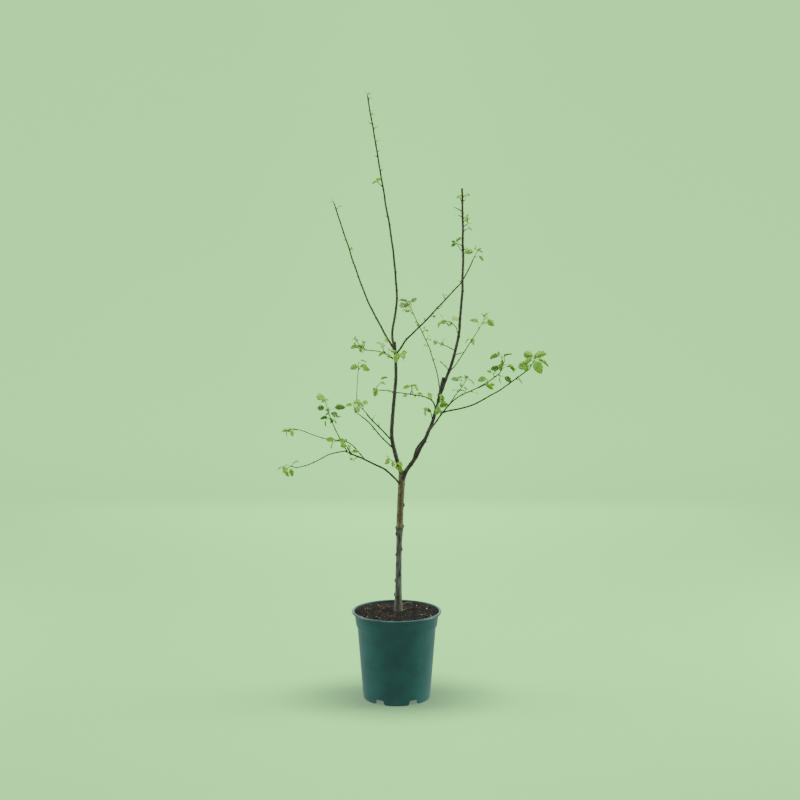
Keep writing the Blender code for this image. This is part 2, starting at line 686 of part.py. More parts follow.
def make_compost(material):
    """The compost that fills the pot, mounded a little round the trunk."""
    gap = GAP / MM + 0.1
    collar_foot = POT_HEIGHT - COLLAR_HEIGHT
    neck = POT_HEIGHT - RIM_DEPTH - 2.0
    wall_in = WALL + gap
    neck_radius = COLLAR_TOP_RADIUS - wall_in - 0.3
    edge_radius = neck_radius + (MOUTH_RADIUS - COLLAR_TOP_RADIUS + WALL) * 0.4
    mound = COMPOST_CROWN - COMPOST_EDGE
    floor = FOOT_HEIGHT + 2.4 + gap
    profile = [
        (0, 2.4 + gap),
        (PAD_RADIUS - 2.2 - gap, 2.4 + gap),
        (PAD_RADIUS - 0.4, floor),
        (WALL_FOOT_RADIUS - wall_in - 0.3, floor),
        (WALL_TOP_RADIUS - wall_in - 0.2, collar_foot - 3.5),
        (COLLAR_FOOT_RADIUS - wall_in - 0.4, collar_foot + 2.5),
        (neck_radius, neck),
        (edge_radius, COMPOST_EDGE),
        (edge_radius * 0.8, COMPOST_EDGE + mound * 0.35),
        (edge_radius * 0.5, COMPOST_EDGE + mound * 0.75),
        (24, COMPOST_CROWN),
        (0, COMPOST_CROWN),
    ]
    return turned("compost", profile, POT_SEGMENTS, material)


def main():
    clear_scene()
    old_bark = plain_material("old bark", OLD_BARK, 0.85)
    young_bark = plain_material("young bark", YOUNG_BARK, 0.6)
    leaf_green = plain_material("young leaf", LEAF_GREEN, 0.5)
    make_pot(plain_material("moulded green plastic", POT_GREEN, 0.45))
    make_compost(plain_material("potting compost", COMPOST_BROWN, 0.95))

    shapes = {"trunk": trunk_shape()}
    tube("trunk", shapes["trunk"], old_bark)
    for limb in LIMBS:
        shape = limb_shape(limb, shapes)
        made = tube(limb.name, shape, young_bark)
        cut_clear(made, shape, shapes, limb.parent if limb.at == 1.0 else None)
        shapes[limb.name] = shape
    taken = []
    for mass in MASSES:
        make_mass(mass, shapes, taken, leaf_green)
    for thing in bpy.data.objects:
        thing.data.shade_smooth()
        thing.data.set_sharp_from_angle(angle=math.radians(40))


main()
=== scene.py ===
# %% [markdown]
# # A young apple tree in its nursery pot
#
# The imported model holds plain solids: a pot, its compost, a trunk, boughs, twigs and masses of
# leaves, all in one frame, in metres. This notebook dresses them. It grows every limb, twig and
# leaf again by the rule that the solids follow, carries that rule on to buds and young leaves,
# and gives each surface the finish of the real one.

# %% Load the frame
import json
import math
import random
from collections import namedtuple

import bmesh
import bpy
from mathutils import Matrix, Vector, noise

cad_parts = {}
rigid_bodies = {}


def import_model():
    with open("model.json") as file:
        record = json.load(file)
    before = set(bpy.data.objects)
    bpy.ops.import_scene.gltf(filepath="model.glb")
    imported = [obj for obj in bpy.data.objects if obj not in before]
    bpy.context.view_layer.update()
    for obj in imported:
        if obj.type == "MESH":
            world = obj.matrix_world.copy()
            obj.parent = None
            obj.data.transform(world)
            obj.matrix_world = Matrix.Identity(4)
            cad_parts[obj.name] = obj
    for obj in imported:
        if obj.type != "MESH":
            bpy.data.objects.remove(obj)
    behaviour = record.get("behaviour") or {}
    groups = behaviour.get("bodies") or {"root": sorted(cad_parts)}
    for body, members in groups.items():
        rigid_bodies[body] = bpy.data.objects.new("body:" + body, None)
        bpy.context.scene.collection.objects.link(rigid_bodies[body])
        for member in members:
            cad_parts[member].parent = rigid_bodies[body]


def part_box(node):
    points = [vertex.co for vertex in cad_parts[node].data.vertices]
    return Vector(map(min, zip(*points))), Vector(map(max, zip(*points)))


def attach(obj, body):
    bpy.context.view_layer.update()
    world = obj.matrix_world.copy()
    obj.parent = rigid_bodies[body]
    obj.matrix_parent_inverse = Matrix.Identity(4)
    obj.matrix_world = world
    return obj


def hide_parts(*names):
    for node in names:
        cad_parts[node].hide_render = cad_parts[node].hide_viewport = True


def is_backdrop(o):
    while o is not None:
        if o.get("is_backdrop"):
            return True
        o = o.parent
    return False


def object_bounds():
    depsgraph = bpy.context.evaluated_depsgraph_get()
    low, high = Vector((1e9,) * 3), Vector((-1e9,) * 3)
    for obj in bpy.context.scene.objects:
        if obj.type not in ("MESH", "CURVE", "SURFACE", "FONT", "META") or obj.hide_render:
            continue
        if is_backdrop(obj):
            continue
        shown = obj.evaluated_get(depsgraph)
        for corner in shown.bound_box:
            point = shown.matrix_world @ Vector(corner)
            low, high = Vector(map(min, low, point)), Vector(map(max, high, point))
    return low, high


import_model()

MM = 0.001
BODY = "root"
cad_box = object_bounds()
pot_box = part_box("pot")
compost_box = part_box("compost")
print("solids reach from", cad_box[0], "to", cad_box[1])

# %% [markdown]
# ## Colours, nodes and trees
#
# A colour that is read off a picture is an sRGB value, but a shader works in linear light, so one
# function turns it round. Another adds a node with its settings and its inputs in one call, where
# an input may be a number, a colour or another node's socket. Both kinds of tree are built with it.


# %% Helpers for colours and nodes
def linear(code):
    """An sRGB hex colour, such as #7aa53c, as the linear colour that a shader takes."""
    channels = [int(code[i:i + 2], 16) / 255 for i in (1, 3, 5)]
    return (*((c / 12.92 if c <= 0.04045 else ((c + 0.055) / 1.055) ** 2.4) for c in channels), 1.0)


def add(tree, kind, settings=None, values=None):
    """Adds a node, sets its settings, and gives each named or numbered input its value or link."""
    node = tree.nodes.new(kind)
    for name, value in (settings or {}).items():
        setattr(node, name, value)
    for name, value in (values or {}).items():
        if isinstance(value, bpy.types.NodeSocket):
            tree.links.new(value, node.inputs[name])
        else:
            node.inputs[name].default_value = value
    return node


def new_material(name, roughness, ior=1.45):
    """A material of one Principled shader, with its node tree and its Object coordinates."""
    material = bpy.data.materials.new(name)
    material.use_nodes = True
    tree = material.node_tree
    shader = tree.nodes["Principled BSDF"]
    shader.inputs["Roughness"].default_value = roughness
    shader.inputs["IOR"].default_value = ior
    place = add(tree, "ShaderNodeTexCoord").outputs["Object"]
    return material, tree, shader, place


def patches(tree, place, size, dark, light, low=0.4, high=0.6, detail=3.0):
    """A colour that wanders between dark and light in soft patches of about that size."""
    grain = add(tree, "ShaderNodeTexNoise",
                values={"Vector": place, "Scale": 1 / size, "Detail": detail})
    share = add(tree, "ShaderNodeMapRange",
                values={"Value": grain.outputs[0], "From Min": low, "From Max": high})
    return add(tree, "ShaderNodeMix", {"data_type": "RGBA"},
               {0: share.outputs[0], 6: dark, 7: light}).outputs[2]


def relief(tree, shader, height, depth, strength=1.0):
    """Bump on the shader, from a height between 0 and 1 and a real depth in metres."""
    bump = add(tree, "ShaderNodeBump",
               values={"Height": height, "Distance": depth, "Strength": strength})
    tree.links.new(bump.outputs[0], shader.inputs["Normal"])


# %% Helpers for geometry trees and pieces
def new_tree(name, inputs):
    """A Geometry Nodes tree and its input node's outputs; inputs maps names to socket kinds."""
    tree = bpy.data.node_groups.new(name, "GeometryNodeTree")
    tree.is_modifier = True
    for label, kind in {"Geometry": "Geometry", **inputs}.items():
        tree.interface.new_socket(label, in_out="INPUT", socket_type="NodeSocket" + kind)
    tree.interface.new_socket("Geometry", in_out="OUTPUT", socket_type="NodeSocketGeometry")
    return tree, add(tree, "NodeGroupInput").outputs


def end_tree(tree, geometry, material):
    """Ends a tree: its instances are made real and its material is set."""
    real = add(tree, "GeometryNodeRealizeInstances", values={"Geometry": geometry})
    finished = add(tree, "GeometryNodeSetMaterial",
                   values={"Geometry": real.outputs[0], "Material": material})
    add(tree, "NodeGroupOutput", values={"Geometry": finished.outputs[0]})


def run_tree(tree, thing, values):
    """Gives thing the plain mesh that the tree makes from it."""
    modifier = thing.modifiers.new(tree.name, "NODES")
    modifier.node_group = tree
    for item in tree.interface.items_tree:
        if item.in_out == "INPUT" and item.name in values:
            modifier[item.identifier] = values[item.name]
    graph = bpy.context.evaluated_depsgraph_get()
    made = bpy.data.meshes.new_from_object(thing.evaluated_get(graph))
    thing.modifiers.clear()
    thing.data = made
    return thing


def new_object(name, mesh):
    thing = bpy.data.objects.new(name, mesh)
    bpy.context.scene.collection.objects.link(thing)
    return thing


def object_from(name, bm, *materials):
    """A linked, smooth object with the bmesh's shape, its faces pointing out."""
    bmesh.ops.recalc_face_normals(bm, faces=bm.faces)
    mesh = bpy.data.meshes.new(name)
    bm.to_mesh(mesh)
    bm.free()
    mesh.shade_smooth()
    for material in materials:
        mesh.materials.append(material)
    return new_object(name, mesh)


def joined(name, things):
    """One object from several, with the materials of all."""
    with bpy.context.temp_override(active_object=things[0], selected_editable_objects=things,
                                   selected_objects=things, object=things[0]):
        bpy.ops.object.join()
    things[0].name = name
    things[0].data.name = name
    return things[0]


def wear(piece, slot, *nodes):
    """The piece rides on the body and stands for these nodes; slot is not used."""
    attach(piece, BODY)
    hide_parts(*nodes)
    corners = len(piece.data.loops) - 2 * len(piece.data.polygons)
    print(piece.name, corners, "triangles, for", len(nodes), "nodes")


# %% [markdown]
# ## The tree's own rule
#
# Every limb is a course of a few points, a foot and a tip thickness, and the limb that it springs
# from. Every mass of leaves is a stem with spurs, and a seed that picks one of the rule's many
# growths. The tables and the rule are those of the solids, so that each leaf comes out in the
# place where its solid is. Lengths in the tables are millimetres.

# %% The limbs
# parent and at: the older limb that it springs from, and how far along that one. course: its
# points. foot and tip: its thickness at either end.
Limb = namedtuple("Limb", "name parent at course foot tip")

LIMBS = [Limb(*row) for row in (
    ("leader", "trunk", 1.0,
     ((1, 7, 602), (-8, 4, 637), (-12, 1, 675), (-9, -2, 730), (-2, -4, 820), (-5, -4, 900)),
     11.4, 7.4),
    ("leader_top", "leader", 0.955,
     ((-11, 2, 921), (-4, 3, 963), (0, 6, 1020), (-10, 12, 1134), (-36, 17, 1290), (-71, 30, 1500)),
     6.6, 3.4),
    ("left_top_bough", "leader", 0.93,
     ((-44, 20, 944), (-75, 45, 1005), (-99, 70, 1066), (-128, 93, 1153), (-157, 110, 1238)),
     5.4, 3.4),
    ("crossing_bough", "leader", 0.90,
     ((28, 16, 908), (53, 34, 930), (116, 80, 992), (166, 114, 1045), (194, 136, 1098)), 5.0, 3.2),
    ("right_limb", "trunk", 0.965,
     ((26, 3, 580), (41, -4, 603), (68, -16, 655), (92, -28, 714), (108, -38, 782),
      (114, -42, 816)), 11.4, 7.0),
    ("right_limb_top", "right_limb", 0.83,
     ((121, -41, 815), (142, -44, 876), (155, -49, 962), (160, -54, 1090), (157, -60, 1274)),
     8.4, 5.0),
    ("low_left_bough", "trunk", 0.92,
     ((-23, -20, 580), (-68, -46, 608), (-114, -74, 634), (-125, -82, 640)), 5.4, 4.0),
    ("low_left_twig", "low_left_bough", 1.0,
     ((-158, -106, 637), (-210, -150, 618), (-239, -172, 614)), 3.0, 2.2),
    ("rising_left_twig", "low_left_bough", 0.96,
     ((-136, -80, 666), (-148, -76, 690), (-158, -72, 714)), 3.0, 2.4),
    ("long_left_twig", "low_left_bough", 0.68,
     ((-96, -52, 635), (-120, -38, 656), (-178, -2, 659), (-234, 28, 674), (-258, 41, 677)),
     2.8, 2.0),
    ("upper_left_twig", "leader", 0.26,
     ((-40, 16, 681), (-62, 30, 700), (-78, 44, 719)), 4.0, 3.2),
    ("inner_left_twig", "leader", 0.20,
     ((-44, -10, 671), (-72, -17, 706), (-88, -22, 718)), 3.6, 2.8),
    ("back_left_twig", "leader", 0.87,
     ((-31, 20, 869), (-54, 50, 872), (-76, 78, 872)), 2.8, 2.2),
    ("cross_twig", "right_limb", 0.69,
     ((89, -28, 758), (71, -18, 764), (47, -4, 767), (15, 14, 770), (-22, 34, 774), (-42, 46, 774)),
     3.4, 2.2),
    ("back_right_twig", "right_limb", 0.86,
     ((99, -4, 826), (78, 34, 888), (62, 56, 922)), 3.0, 2.2),
    ("thin_right_twig", "right_limb_top", 0.125,
     ((144, -22, 844), (162, 0, 868), (184, 40, 896)), 2.8, 2.2),
    ("bare_twig", "right_limb_top", 0.135,
     ((104, -78, 860),), 2.6, 1.6),
    ("front_right_spur", "right_limb_top", 0.235,
     ((122, -88, 896),), 2.8, 2.2),
    ("back_spur", "right_limb_top", 0.30,
     ((146, -26, 936),), 2.6, 2.2),
    ("low_right_bough", "right_limb", 0.205,
     ((48, -26, 636), (62, -38, 657), (97, -62, 710), (128, -90, 756)), 5.2, 3.6),
    ("long_right_twig", "low_right_bough", 0.85,
     ((140, -94, 743), (191, -122, 762), (252, -152, 802), (312, -180, 850)), 4.2, 2.8),
    ("short_right_twig", "low_right_bough", 1.0,
     ((143, -96, 779), (154, -101, 794)), 2.8, 2.2),
    ("leafy_right_twig", "low_right_bough", 0.96,
     ((146, -84, 770), (168, -74, 782), (209, -60, 797), (234, -48, 813), (251, -42, 825)),
     3.2, 2.4),
)]
print(len(LIMBS), "limbs")

# %% The masses of leaves
# limb and at: where its stem springs from. course: the stem's points. spurs: how far along the
# stem each spur sits and how many leaves it has. tip and leaf: how many leaves at the stem's tip,
# and their usual length. tints: the colours that its sprays take in turn, named further down.
Mass = namedtuple("Mass", "name limb at course spurs tip leaf seed tints")

MASSES = [Mass(*row) for row in (
    ("low_left_leaves", "low_left_twig", 1.0,
     ((-253, -180, 618), (-260, -190, 615)), ((0.3, 2),), 4, 20, 4024, "pale fresh"),
    ("long_left_leaves", "long_left_twig", 1.0,
     ((-275, 48, 672),), (), 4, 19, 390, "fresh"),
    ("rising_left_leaves", "rising_left_twig", 1.0,
     ((-167, -66, 736), (-172, -62, 755)), ((0.05, 4), (0.5, 4)), 3, 24, 1933, "deep deep fresh"),
    ("bough_end_leaves", "low_left_bough", 0.88,
     ((-131, -98, 664), (-149, -106, 668)), ((0.4, 4), (0.6, 2)), 3, 19, 19, "fresh vivid"),
    ("tall_left_leaves", "upper_left_twig", 1.0,
     ((-99, 76, 740), (-100, 86, 775), (-96, 96, 838)), ((0.08, 3), (0.22, 3), (0.86, 4)), 1, 20,
     2700, "fresh pale fresh"),
    ("inner_left_leaves", "inner_left_twig", 1.0,
     ((-102, -30, 732), (-105, -32, 744)), (), 3, 17, 1357, "fresh"),
    ("cross_twig_leaves", "cross_twig", 1.0,
     ((-52, 58, 776), (-43, 62, 788)), ((0.4, 2),), 3, 19, 1173, "vivid fresh"),
    ("back_left_leaves", "back_left_twig", 1.0,
     ((-89, 90, 878), (-102, 100, 893)), ((0.15, 3), (0.5, 3)), 3, 20, 5820, "dull fresh"),
    ("leader_left_leaves", "leader", 0.86,
     ((-28, -18, 873), (-35, -24, 896)), ((0.4, 3),), 3, 22, 745, "fresh pale"),
    ("leader_right_leaves", "leader", 0.87,
     ((6, -18, 866), (12, -26, 874)), ((0.5, 2),), 3, 23, 5350, "fresh"),
    ("crossing_middle_leaves", "crossing_bough", 0.60,
     ((117, 88, 1010),), (), 3, 10, 2746, "bronze"),
    ("crossing_leaves", "crossing_bough", 1.0,
     ((202, 150, 1112),), ((0.2, 1),), 4, 19, 238, "dull"),
    ("front_right_leaves", "front_right_spur", 1.0,
     ((104, -108, 904), (97, -112, 908)), ((0.4, 2),), 4, 13, 3239, "dull"),
    ("back_right_leaves", "back_right_twig", 1.0,
     ((41, 78, 965), (32, 88, 987)), ((0.2, 2), (0.6, 3)), 5, 21, 1320, "fresh pale dull"),
    ("back_spur_leaves", "back_spur", 1.0,
     ((130, -6, 950), (114, 6, 948)), ((0.3, 3),), 3, 22, 1039, "pale bronze"),
    ("thin_right_leaves", "thin_right_twig", 1.0,
     ((206, 80, 924), (222, 104, 949)), ((0.1, 2), (0.55, 3)), 4, 22, 858, "fresh pale"),
    ("long_right_leaves", "long_right_twig", 1.0,
     ((324, -190, 871),), ((0.3, 3),), 5, 29, 3056, "vivid fresh"),
    ("short_right_leaves", "short_right_twig", 1.0,
     ((160, -106, 804), (167, -110, 817)), ((0.25, 3),), 4, 18, 4311, "dull dull fresh"),
    ("leafy_right_leaves", "leafy_right_twig", 1.0,
     ((259, -36, 846), (257, -30, 866)), ((0.2, 3), (0.5, 3)), 4, 24, 6830, "deep fresh"),
    ("leafy_right_low_leaves", "leafy_right_twig", 0.56,
     ((217, -68, 806), (222, -72, 812)), ((0.5, 3),), 4, 19, 1831, "fresh vivid"),
    ("middle_twig_leaves", "cross_twig", 0.52,
     ((36, 0, 777), (38, -4, 790)), ((0.4, 3),), 4, 20, 1802, "dull fresh"),
    ("cross_foot_leaves", "cross_twig", 0.10,
     ((80, -42, 776),), (), 2, 22, 2894, "fresh"),
    ("right_limb_front_leaves", "right_limb", 0.66,
     ((100, -50, 750), (105, -58, 756)), ((0.4, 2),), 3, 23, 5566, "vivid"),
    ("right_limb_left_leaves", "right_limb", 0.60,
     ((83, -34, 731), (74, -40, 736)), ((0.4, 2),), 3, 17, 2232, "pale dull"),
    ("fork_leaves", "leader", 0.07,
     ((-9, -16, 604), (-15, -24, 608)), ((0.4, 4),), 5, 16, 2711, "fresh pale"),
    ("right_top_low_leaves", "right_limb_top", 0.70,
     ((142, -64, 1144),), (), 3, 13, 1386, "deep"),
    ("right_top_side_leaves", "right_limb_top", 0.69,
     ((170, -50, 1124),), (), 2, 18, 1785, "fresh"),
    ("right_top_outer_leaves", "right_limb_top", 0.80,
     ((173, -54, 1178),), (), 2, 13, 5895, "deep"),
    ("right_top_middle_leaves", "right_limb_top", 0.84,
     ((168, -66, 1201),), (), 4, 15, 5135, "fresh"),
    ("right_top_upper_leaves", "right_limb_top", 0.93,
     ((151, -68, 1252),), (), 3, 11, 5117, "fresh"),
    ("left_top_leaves", "left_top_bough", 1.0,
     ((-160, 112, 1243),), (), 4, 10, 2, "pale"),
    ("leader_top_leaves", "leader_top", 0.635,
     ((-47, 12, 1290),), (), 4, 15, 996, "vivid"),
)]
print(len(MASSES), "masses of leaves")

# %% [markdown]
# ## Courses and limbs
#
# A limb's course is a smooth curve through its points, cut into even steps and bent a little at
# each step, as a shoot is at its buds. The solids use long steps. The drawn limbs run through the
# same bent line again with short steps, so that they are round and still lie in their solids.

# %% Courses
GAP = 0.3 * MM
RING_SPACING = 24.0
FINE_SPACING = 2.5
KINK = 0.9
COLLAR_SWELL = 0.3
CURVE_CUTS = 16
TAPER = 0.8

# A limb's centre line and its radius at each point of it.
Course = namedtuple("Course", "line radii")


def mm(point):
    return Vector(point) * MM


def line_length(line):
    return sum((q - p).length for p, q in zip(line, line[1:]))


def smooth_course(points, spacing, before=None):
    """Evenly spaced points on a smooth curve through the given ones."""
    before = before or points[0] * 2 - points[1]
    ends = [before, *points, points[-1] * 2 - points[-2]]
    fine = [points[0]]
    for a, b, c, d in zip(ends, ends[1:], ends[2:], ends[3:]):
        for k in range(1, CURVE_CUTS + 1):
            t = k / CURVE_CUTS
            fine.append(0.5 * (2 * b + (c - a) * t + (2 * a - 5 * b + 4 * c - d) * t ** 2
                               + (3 * b - a - 3 * c + d) * t ** 3))
    lengths = [0.0]
    for p, q in zip(fine, fine[1:]):
        lengths.append(lengths[-1] + (q - p).length)
    pieces = max(2, round(lengths[-1] / spacing))
    course, i = [], 0
    for k in range(pieces + 1):
        wanted = lengths[-1] * k / pieces
        while i < len(fine) - 2 and lengths[i + 1] < wanted:
            i += 1
        share = (wanted - lengths[i]) / max(lengths[i + 1] - lengths[i], 1e-9)
        course.append(fine[i].lerp(fine[i + 1], min(share, 1.0)))
    return course


def place_on(line, share):
    """The point and the direction at a share of a line's length, from 0 to 1."""
    lengths = [(q - p).length for p, q in zip(line, line[1:])]
    wanted = sum(lengths) * share
    for p, q, length in zip(line, line[1:], lengths):
        if wanted <= length:
            return p.lerp(q, wanted / length), (q - p).normalized()
        wanted -= length
    return line[-1].copy(), (line[-1] - line[-2]).normalized()


def kinked(line, amount, rng):
    """The line with a slight bend at each inner point, as a shoot has at its buds."""
    bent = [line[0]]
    for before, point, after in zip(line, line[1:], line[2:]):
        aside = Vector((rng.uniform(-1, 1), rng.uniform(-1, 1), 0.3))
        across = (after - before).normalized().cross(aside)
        bent.append(point + across.normalized() * amount * rng.uniform(0.3, 1.0))
    bent.append(line[-1])
    return bent


# %% The trunk's and the limbs' solid shapes
ROOTSTOCK_RADIUS = 7.3
SCION_RADIUS = 8.4
ROOT_FLARE = 5.0
ROOT_FLARE_HEIGHT = 36.0
GRAFT_HEIGHT = 205.0
GRAFT_BULGE = 1.3
GRAFT_LENGTH = 14.0
TRUNK_TOP_TAPER = 0.86
TRUNK_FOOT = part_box("trunk")[0][2] / MM
TRUNK_COURSE = ((4, 8, TRUNK_FOOT), (5, 8, 330), (8, 8, 455), (13, 8, 566))


def trunk_radius(height):
    """The trunk's radius in mm at a height above the compost: flare, rootstock, graft, scion."""
    past_graft = 1 / (1 + math.exp(-(height - GRAFT_HEIGHT) / 4))
    stem = ROOTSTOCK_RADIUS + (SCION_RADIUS - ROOTSTOCK_RADIUS) * past_graft
    flare = ROOT_FLARE * math.exp(-height / ROOT_FLARE_HEIGHT)
    bulge = GRAFT_BULGE * math.exp(-((height - GRAFT_HEIGHT) / GRAFT_LENGTH) ** 2)
    return stem + flare + bulge


def trunk_shape(spacing):
    line = smooth_course([mm(p) for p in TRUNK_COURSE], spacing * MM)
    return Course(line, [trunk_radius(p.z / MM - TRUNK_FOOT) * MM for p in line])


def limb_shape(limb, shapes):
    """A limb's line and radii as its solid has them."""
    parent = shapes[limb.parent]
    start, ahead = place_on(parent.line, limb.at)
    points = [mm(p) for p in limb.course]
    rng = random.Random(limb.name)
    if limb.at == 1.0:
        start = start + ahead * GAP
        line = smooth_course([start, *points], RING_SPACING * MM, before=start - ahead * 10 * MM)
    else:
        line = smooth_course([start, *points], RING_SPACING * MM)
    line = kinked(line, KINK * MM, rng)
    last = len(line) - 1
    radii = [(limb.foot + (limb.tip - limb.foot) * (i / last) ** TAPER) / 2 * MM
             for i in range(len(line))]
    if limb.at == 1.0:
        radii[0] = min(radii[0], parent.radii[-1])
    else:
        radii[0] *= 1 + COLLAR_SWELL
    return Course(line, radii)


shapes = {"trunk": trunk_shape(RING_SPACING * 0.6)}
shapes["trunk"].radii[-1] *= TRUNK_TOP_TAPER
for limb in LIMBS:
    shapes[limb.name] = limb_shape(limb, shapes)
total = sum(line_length(shape.line) for shape in shapes.values())
print("limbs in all", round(total, 2), "m")

# %% [markdown]
# ## Leaves by rule
#
# An apple spur carries a rosette: leaves that follow each other round it by the golden angle,
# each on its own stalk. The rule draws each leaf's lean, droop, roll and size from the seeded
# numbers of its mass, and drops a leaf that would touch a limb or crowd another mass. It has to
# make its draws in the same order as the solids' rule, or every later leaf would move.

# %% The rule of the rosettes
GOLDEN_ANGLE = math.radians(137.5)
SPUR_MM = 9.0
LEAF_STEP = 1.5
STEM_STEP = 12.0
SIDE_STEM_STEP = 6.0
BLADE_WIDTH = 0.72
BLADE_FOLD = 0.3
BLADE_SAG = 0.25
BLADE_SIDE = ((0.26, 0.95), (0.68, 0.88))
LEAF_CLEARANCE = 1.2
MASS_CLEARANCE = 5.0

# What is drawn by lot: a leaf's step round the axis, its lean from the axis, its droop and its
# roll, all in radians, its size and its stalk as shares of its length, and a spur's length as a
# share of the usual one. LIFT turns every stalk up a little.
SPIN_DRAW, LEAN_DRAW, DROOP_DRAW, ROLL_DRAW = (-0.5, 0.5), (0.3, 1.6), (0.1, 1.1), (-1.4, 1.4)
SIZE_DRAW, STALK_DRAW, SPUR_DRAW = (0.6, 1.2), (0.2, 0.7), (0.5, 1.6)
LIFT = 0.3

# root: where its stalk leaves the twig. out: the stalk's direction. along and up: the
# blade's directions. length and stalk: of the blade and of the stalk, in metres.
Leaf = namedtuple("Leaf", "root out along up length stalk")


def segment_distance(point, a, b):
    along = b - a
    share = max(0.0, min(1.0, (point - a).dot(along) / along.length_squared))
    return (point - a - along * share).length


def near_limb(points, shape, margin):
    """Whether any of the points comes within the margin of the limb's surface."""
    for p, q, r in zip(shape.line, shape.line[1:], shape.radii):
        middle, reach = (p + q) / 2, (q - p).length / 2 + r + margin
        for point in points:
            if (point - middle).length < reach and segment_distance(point, p, q) < r + margin:
                return True
    return False


def clear_of_limbs(points):
    return not any(near_limb(points, shape, LEAF_CLEARANCE * MM) for shape in shapes.values())


def blade_point(leaf, share, side):
    """A point of the folded, drooping blade, at a share of its length and of its half width."""
    across = leaf.along.cross(leaf.up)
    half = leaf.length * BLADE_WIDTH / 2
    base = leaf.root + leaf.out * leaf.stalk
    rise = BLADE_FOLD * half * abs(side) - BLADE_SAG * leaf.length * share ** 2
    return base + leaf.along * leaf.length * share + across * half * side + leaf.up * rise


def blade_outline(leaf):
    left = [blade_point(leaf, share, -side) for share, side in BLADE_SIDE]
    right = [blade_point(leaf, share, side) for share, side in reversed(BLADE_SIDE)]
    return [*left, blade_point(leaf, 1.0, 0.0), *right]


def has_room(leaf, taken):
    """Whether a leaf keeps clear of the limbs and of the other masses' leaves."""
    outline = blade_outline(leaf)
    foot = blade_point(leaf, 0.0, 0.0)
    stalk = [leaf.root.lerp(foot, part) for part in (0.25, 0.5, 0.75, 1.0)]
    inner = [blade_point(leaf, share / 8, side) for share in range(1, 8)
             for side in (-0.5, 0.0, 0.5)]
    if not clear_of_limbs([*outline, *inner, *stalk]):
        return False
    return all((p - q).length > MASS_CLEARANCE * MM for p in outline for q in taken)


def leaves_round(rng, root, axis, count, length, turn):
    """A rosette: leaves in golden-angle steps, each with its own lean, droop and roll."""
    side = axis.orthogonal().normalized()
    found = []
    for k in range(count):
        spin = Matrix.Rotation(turn + k * GOLDEN_ANGLE + rng.uniform(*SPIN_DRAW), 3, axis)
        lean = rng.uniform(*LEAN_DRAW)
        out = axis * math.cos(lean) + (spin @ side) * math.sin(lean)
        out = (out + Vector((0, 0, LIFT))).normalized()
        level = out.cross(Vector((0, 0, 1)))
        level = level.normalized() if level.length > 0.1 else Vector((1, 0, 0))
        along = Matrix.Rotation(-rng.uniform(*DROOP_DRAW), 3, level) @ out
        roll = Matrix.Rotation(rng.uniform(*ROLL_DRAW), 3, along)
        size = length * rng.uniform(*SIZE_DRAW)
        node = root - axis * LEAF_STEP * MM * k
        found.append(Leaf(node, out, along, roll @ level.cross(along), size,
                          size * rng.uniform(*STALK_DRAW)))
    return found


def grow(mass, taken):
    """A mass: its stem's line, its spurs as pairs of points, and its sprays of leaves."""
    rng = random.Random(mass.seed)
    start, ahead = place_on(shapes[mass.limb].line, mass.at)
    points = [mm(p) for p in mass.course]
    if mass.at == 1.0:
        start = start + ahead * GAP
        line = smooth_course([start, *points], STEM_STEP * MM, before=start - ahead * 5 * MM)
    else:
        line = smooth_course([start, *points], SIDE_STEM_STEP * MM)
    turn = rng.uniform(0, 2 * math.pi)
    spurs, sprays = [], []
    for k, (share, count) in enumerate(mass.spurs):
        root, heading = place_on(line, share)
        spin = Matrix.Rotation(turn + k * GOLDEN_ANGLE, 3, heading)
        out = (heading * 0.7 + (spin @ heading.orthogonal().normalized()) * 0.7).normalized()
        end = root + out * SPUR_MM * MM * rng.uniform(*SPUR_DRAW)
        rosette = leaves_round(rng, end, out, count, mass.leaf * MM, rng.uniform(0, 2 * math.pi))
        if clear_of_limbs([root.lerp(end, part) for part in (0.5, 0.75, 1.0)]):
            spurs.append((root, end))
            sprays.append((end, out, rosette))
    tip, heading = place_on(line, 1.0)
    sprays.append((tip, heading, leaves_round(rng, tip, heading, mass.tip, mass.leaf * MM, turn)))
    kept = [(end, out, [leaf for leaf in rosette if has_room(leaf, taken)])
            for end, out, rosette in sprays]
    taken += [point for _, _, rosette in kept for leaf in rosette for point in blade_outline(leaf)]
    return line, spurs, kept


taken = []
grown = {mass.name: grow(mass, taken) for mass in MASSES}
rosettes = [rosette for _, _, sprays in grown.values() for _, _, rosette in sprays]
print(sum(len(rosette) for rosette in rosettes), "leaves by the rule")

# %% [markdown]
# ## Limbs drawn with bark
#
# A limb is a swept tube, so one Geometry Nodes tree makes them all: it takes lines whose points
# carry a radius, sweeps a circle along them, and pushes the skin in and out into lumps and
# lengthwise ridges. It also stores where each point lies round and along its limb, and the bark
# materials read that, so that their streaks follow the limb round every bend.

# %% The tree that sweeps limbs
RIDGES_PER_M = 350.0
LUMPS_PER_M = 90.0


